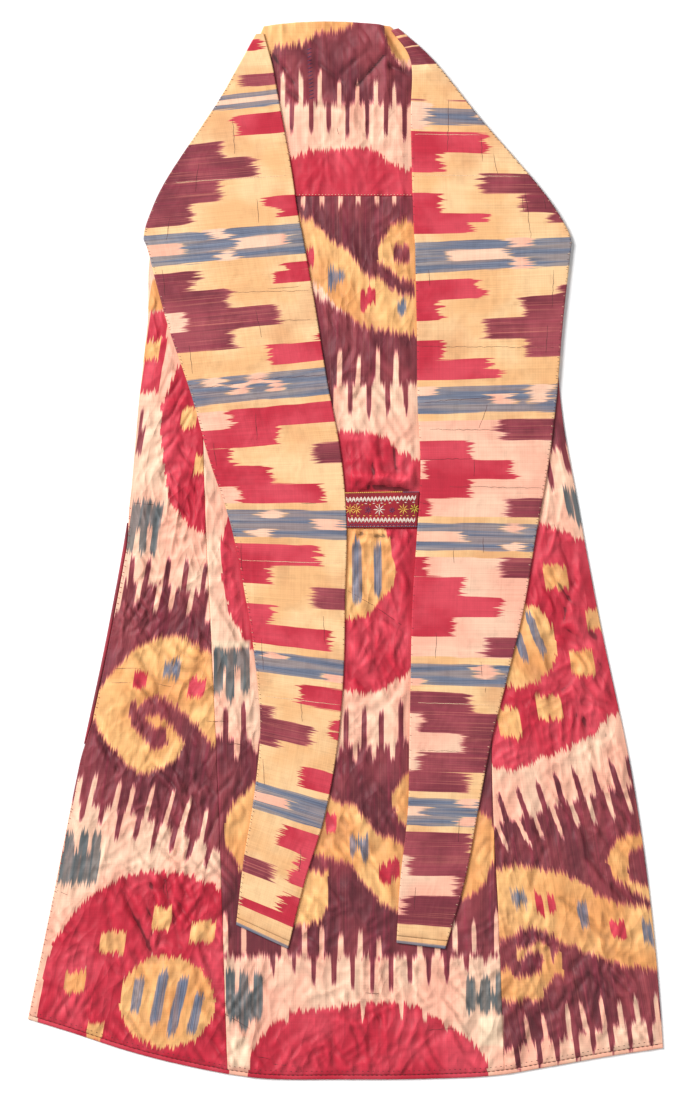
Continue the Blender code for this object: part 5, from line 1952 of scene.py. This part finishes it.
def dashes(start, start_down, end, end_down, count, length):
    """Level strokes at even places along a line."""
    strokes = []
    for step in range(count):
        part = step / (count - 1)
        across = start + (end - start) * part
        down = start_down + (end_down - start_down) * part
        strokes.append(straight(across - length / 2, down, across + length / 2, down))
    return strokes


def thread_silk(name, colour):
    """Twisted thread, a little uneven in its tone."""
    nodes = Nodes(name)
    worn = nodes.noise(nodes.threads(), (900, 700), 2.0)
    dark = tuple(0.62 * part for part in colour)
    tone = nodes.mix(nodes.step(worn, 0.35, 0.7), colour, dark)
    nodes.put(tone, nodes.surface.inputs["Base Color"])
    nodes.surface.inputs["Roughness"].default_value = 0.55
    nodes.bump(worn, 0.4, 0.0002)
    return nodes.material


WHITE_THREAD = thread_silk("thread_white", linear(246, 226, 210))
YELLOW_THREAD = thread_silk("thread_yellow", linear(240, 186, 84))
OLIVE_THREAD = thread_silk("thread_olive", linear(206, 186, 62))
NAVY_THREAD = thread_silk("thread_navy", linear(66, 52, 92))
GREY_THREAD = thread_silk("thread_grey", linear(104, 100, 124))
BROWN_THREAD = thread_silk("thread_brown", linear(92, 44, 44))
CRIMSON_THREAD = thread_silk("thread_crimson", linear(150, 30, 48))
PALE_THREAD = thread_silk("thread_pale", linear(248, 214, 176))


def add_embroidery():
    """The band's zigzags, stars, dashes and corded edges."""
    stitch, fine = 0.72, 0.55
    white = zigzag(0.5, 634.6, 93.0, 632.2, 19, 2.4) + zigzag(0.5, 636.8, 93.0, 634.2, 19, 2.4)
    white += zigzag(3.0, 661.3, 92.0, 661.6, 18, 2.3) + zigzag(3.0, 663.4, 92.0, 663.7, 18, 2.3)
    white += star(44.3, 648.6, 7.6) + dashes(16, 641.0, 90, 638.8, 8, 3.4)
    yellow = star(5.4, 648.5, 6.6) + star(14.2, 648.7, 7.0) + star(76.3, 648.2, 7.2)
    yellow += dashes(8, 657.0, 90, 656.6, 11, 3.4) + dashes(12, 642.4, 52, 641.6, 5, 2.2)
    navy = star(29.4, 649.0, 5.4) + star(61.2, 649.4, 4.4)
    navy += zigzag(4.0, 668.4, 92.0, 668.0, 18, 1.1)
    cord = dashes(-1.0, 626.4, 74, 624.9, 30, 2.4)
    grey = dashes(77, 625.4, 96, 625.0, 9, 2.0) + dashes(3.0, 671.2, 93.0, 670.8, 34, 2.2)
    flecks = dashes(6.0, 670.6, 90.0, 670.2, 17, 1.2)
    return add_strands("band_embroidery", band_surface, [
        Strands(WHITE_THREAD, stitch, white), Strands(YELLOW_THREAD, stitch, yellow),
        Strands(NAVY_THREAD, fine, navy), Strands(OLIVE_THREAD, stitch, star(91.2, 647.6, 6.6)),
        Strands(YELLOW_THREAD, 0.9, cord), Strands(GREY_THREAD, 0.8, grey),
        Strands(WHITE_THREAD, 0.4, flecks),
    ], "band_cloth")


WHIP_STEP = 5.2
WHIP_END = 1330.0
EDGE_STEP = 6.0
WHIP_SLANT = 0.8
WHIP_PARTS = (0.06, 0.3, 0.65, 1.0)


def whipped(edge, inward, step, seed, reach=3.4):
    """Small slanting stitches over an edge. Edge is a line of points, and inward points to its cloth."""
    edge, inward = np.asarray(edge, float), np.asarray(inward, float)
    length = np.concatenate([[0], np.cumsum(np.hypot(*np.diff(edge, axis=0).T))])
    strokes = []
    for index, place in enumerate(np.arange(step, length[-1] - step, step)):
        drift = 0.7 * step * (float(hashed(np.int64(index), np.int64(seed), 9)) - 0.5)
        deep = reach * (0.6 + 0.6 * float(hashed(np.int64(index), np.int64(seed), 10)))
        at = place + drift
        point = np.array([np.interp(at, length, edge[:, axis]) for axis in (0, 1)])
        inside = np.array([np.interp(at, length, inward[:, axis]) for axis in (0, 1)])
        along = np.array([-inside[1], inside[0]])
        reach_in = inside * deep
        strokes.append([tuple(point + reach_in * part + along * WHIP_SLANT * part) for part in WHIP_PARTS])
    return strokes


def add_sleeve_stitches(side, sections, splits, pale, seed):
    at = np.linspace(1, len(sections) - 1.05, 400)
    inner, outer, _ = sleeve_edges(sections, at)
    width = np.hypot(*(outer - inner).T)[:, None]
    inward = (inner - outer) / width
    brown = whipped(outer, inward, WHIP_STEP, seed) + whipped(inner, -inward, 2.2 * WHIP_STEP, seed + 1, 2.4)
    light = whipped(outer, inward, 2.6 * WHIP_STEP, seed + 2, 3.0)
    torn = [wavering(*split, seed + index) for index, split in enumerate(splits)]
    light += [wavering(*split, seed + 90 + index, 0.6) for index, split in enumerate(pale)]
    return add_strands("sleeve_stitches_" + side, sleeve_surface(sections), [
        Strands(BROWN_THREAD, 0.42, brown), Strands(PALE_THREAD, 0.36, light),
        Strands(BROWN_THREAD, 0.3, torn),
    ], "sleeve_silk")


# Splits in the silk and pulled threads, each from one place to another
SPLITS_RIGHT = [
    (136, 104, 135, 172), (180, 155, 181, 186), (196, 176, 202, 206), (238, 226, 246, 288),
    (234, 232, 236, 252),
    (96, 432, 276, 433), (262, 232, 266, 250), (110, 330, 112, 352), (276, 330, 274, 380),
    (268, 404, 266, 440),
    (188, 509, 177, 540), (104, 506, 199, 499), (98, 582, 168, 581), (170, 582, 170, 604),
    (138, 618, 262, 620),
    (112, 542, 210, 543), (96, 640, 110, 641), (143, 699, 143, 720), (120, 812, 119, 846),
    (182, 686, 182, 706), (180, 851, 180, 870), (185, 885, 185, 892), (98, 968, 150, 970),
    (150, 1060, 149, 1090), (92, 1150, 91, 1180),
]
PALE_RIGHT = [(92, 204, 232, 206), (92, 150, 178, 151), (96, 905, 190, 908)]
SPLITS_LEFT = [
    (-214, 488, -150, 483), (-130, 476, -30, 470), (-148, 360, -50, 358), (-104, 398, -46, 396),
    (-120, 384, -112, 420),
    (-150, 130, -148, 176), (-196, 190, -200, 226), (-234, 262, -238, 290), (-118, 236, -116, 268),
    (-244, 330, -240, 366), (-60, 352, -104, 356), (-208, 430, -204, 468), (-120, 520, -118, 556),
    (-176, 560, -172, 592), (-40, 640, -60, 640), (-140, 690, -138, 728), (-30, 790, -28, 826),
    (-112, 820, -110, 862), (-60, 900, -58, 930), (-110, 980, -108, 1014), (-60, 1100, -62, 1130),
]
PALE_LEFT = [(-80, 205, -226, 214), (-10, 720, -138, 716), (-8, 908, -112, 896)]


def add_body_stitches():
    """The hem's stitching, the left edge's whip stitches, the darn and the splits on the back."""
    hem = []
    for offset, dash, gap in ((6.2, 3.6, 2.6), (11.5, 2.2, 4.6)):
        for start in np.arange(-414, 412, dash + gap):
            places = np.linspace(start, start + dash, 3)
            hem.append([(place, HEM_DOWN - float(hem_rise(place)) - offset) for place in places])
    down = np.arange(EDGING_START, WHIP_END, EDGE_STEP)
    edge = np.stack([left_fold(down), down], axis=1)
    inward = np.stack([np.ones(len(down)), 0.2 * np.ones(len(down))], axis=1)
    whip = whipped(edge, inward, 7.5, 61, 3.2)
    darn = []
    for step in range(0, 66, 5):
        lean = 0.5 * step / 10
        darn.append(straight(-52 + lean, 38 + step, -46 + lean, 36 + step))
    splits = [
        (-162, 1318, -128, 1338), (-125, 1374, -101, 1379), (-97, 1386, -65, 1387),
        (-384, 1154, -370, 1160),
        (-311, 860, -273, 859), (-311, 879, -286, 878), (-186, 929, -160, 930), (-12, 141, -10, 150),
        (-120, 900, -100, 902), (20, 1290, 44, 1292), (110, 1340, 150, 1338),
        (2, 756, 37, 776), (37, 776, 74, 802), (-250, 880, -232, 884), (-282, 640, -256, 642),
        (-240, 1140, -236, 1170), (-166, 960, -134, 960),
    ]
    cracks = [wavering(*split, 70 + index) for index, split in enumerate(splits)]
    seam = dashes(-66, 230.2, 86, 230.2, 36, 1.6)
    return add_strands("back_stitches", back_surface, [
        Strands(BROWN_THREAD, 0.45, hem), Strands(CRIMSON_THREAD, 0.5, whip),
            Strands(NAVY_THREAD, 0.6, darn),
        Strands(BROWN_THREAD, 0.32, cracks), Strands(PALE_THREAD, 0.45, seam),
    ], "body_silk")


add_embroidery()
add_sleeve_stitches("left", SLEEVE_LEFT, SPLITS_LEFT, PALE_LEFT, 81)
add_sleeve_stitches("right", SLEEVE_RIGHT, SPLITS_RIGHT, PALE_RIGHT, 91)
add_body_stitches()


# The floor, the lights and the camera
def plain_surface(name, colour):
    nodes = Nodes(name)
    nodes.surface.inputs["Base Color"].default_value = (*colour, 1.0)
    nodes.surface.inputs["Roughness"].default_value = 0.9
    nodes.surface.inputs["Specular IOR Level"].default_value = 0.1
    return nodes.material


FLOOR_SIZE = 6.0
FLOOR_DROP = 0.0002


def add_floor():
    """The plain pale surface that the robe lies on."""
    mesh = bpy.data.meshes.new("floor")
    half = FLOOR_SIZE / 2
    corners = [(-half, -half, 0), (half, -half, 0), (half, half, 0), (-half, half, 0)]
    mesh.from_pydata(corners, [], [(0, 1, 2, 3)])
    mesh.materials.append(plain_surface("pale_floor", (0.97, 0.97, 0.97)))
    floor = link("floor", mesh)
    floor.location.z = -FLOOR_DROP


def add_light(name, power, size, place, aim=(0.0, 0.0, 0.0)):
    """A soft rectangular light, in watts and metres, that points at the robe."""
    lamp = bpy.data.lights.new(name, "AREA")
    lamp.shape = "RECTANGLE"
    lamp.size, lamp.size_y = size
    lamp.energy = power
    light = bpy.data.objects.new(name, lamp)
    light.location = place
    direction = np.array(aim) - np.array(place)
    light.rotation_euler = pointing(direction)
    bpy.context.scene.collection.objects.link(light)


def pointing(direction):
    """The turn that points a light or a camera along a direction."""
    across, forth, up = direction
    flat = math.hypot(across, forth)
    tilt = math.atan2(flat, -up)
    return (tilt, 0.0, math.atan2(-across, forth) if flat > 0 else 0.0)


WORLD_LIGHT = 0.24
LENS = 110.0
SENSOR = 36.0


def add_camera():
    """A camera straight above, far off, whose frame is the photograph's."""
    camera = bpy.data.cameras.new("overhead")
    camera.sensor_fit = "VERTICAL"
    camera.sensor_height = SENSOR
    camera.lens = LENS
    view = bpy.data.objects.new("overhead", camera)
    middle_across = (PICTURE_WIDTH / 2 - ZERO_PIXEL_X) * PIXEL
    middle_down = (PICTURE_HEIGHT / 2 - ZERO_PIXEL_Y) * PIXEL
    place = world(np.array([middle_across, middle_down, 0.0]))
    tall = PICTURE_HEIGHT * PIXEL * METRES
    view.location = (place[0], place[1], tall * LENS / SENSOR)
    bpy.context.scene.collection.objects.link(view)
    bpy.context.scene.camera = view


def add_world():
    """Even white light from all round."""
    sky = bpy.data.worlds.new("studio")
    sky.use_nodes = True
    sky.node_tree.nodes["Background"].inputs["Color"].default_value = (1.0, 1.0, 1.0, 1.0)
    sky.node_tree.nodes["Background"].inputs["Strength"].default_value = WORLD_LIGHT
    bpy.context.scene.world = sky


add_floor()
add_world()
add_light("key_soft", 770.0, (3.6, 3.6), (-4.6, 3.2, 4.8))
add_light("fill_soft", 34.0, (2.4, 2.4), (2.2, -1.4, 2.6))
add_camera()
bpy.context.scene.view_settings.view_transform = "Standard"
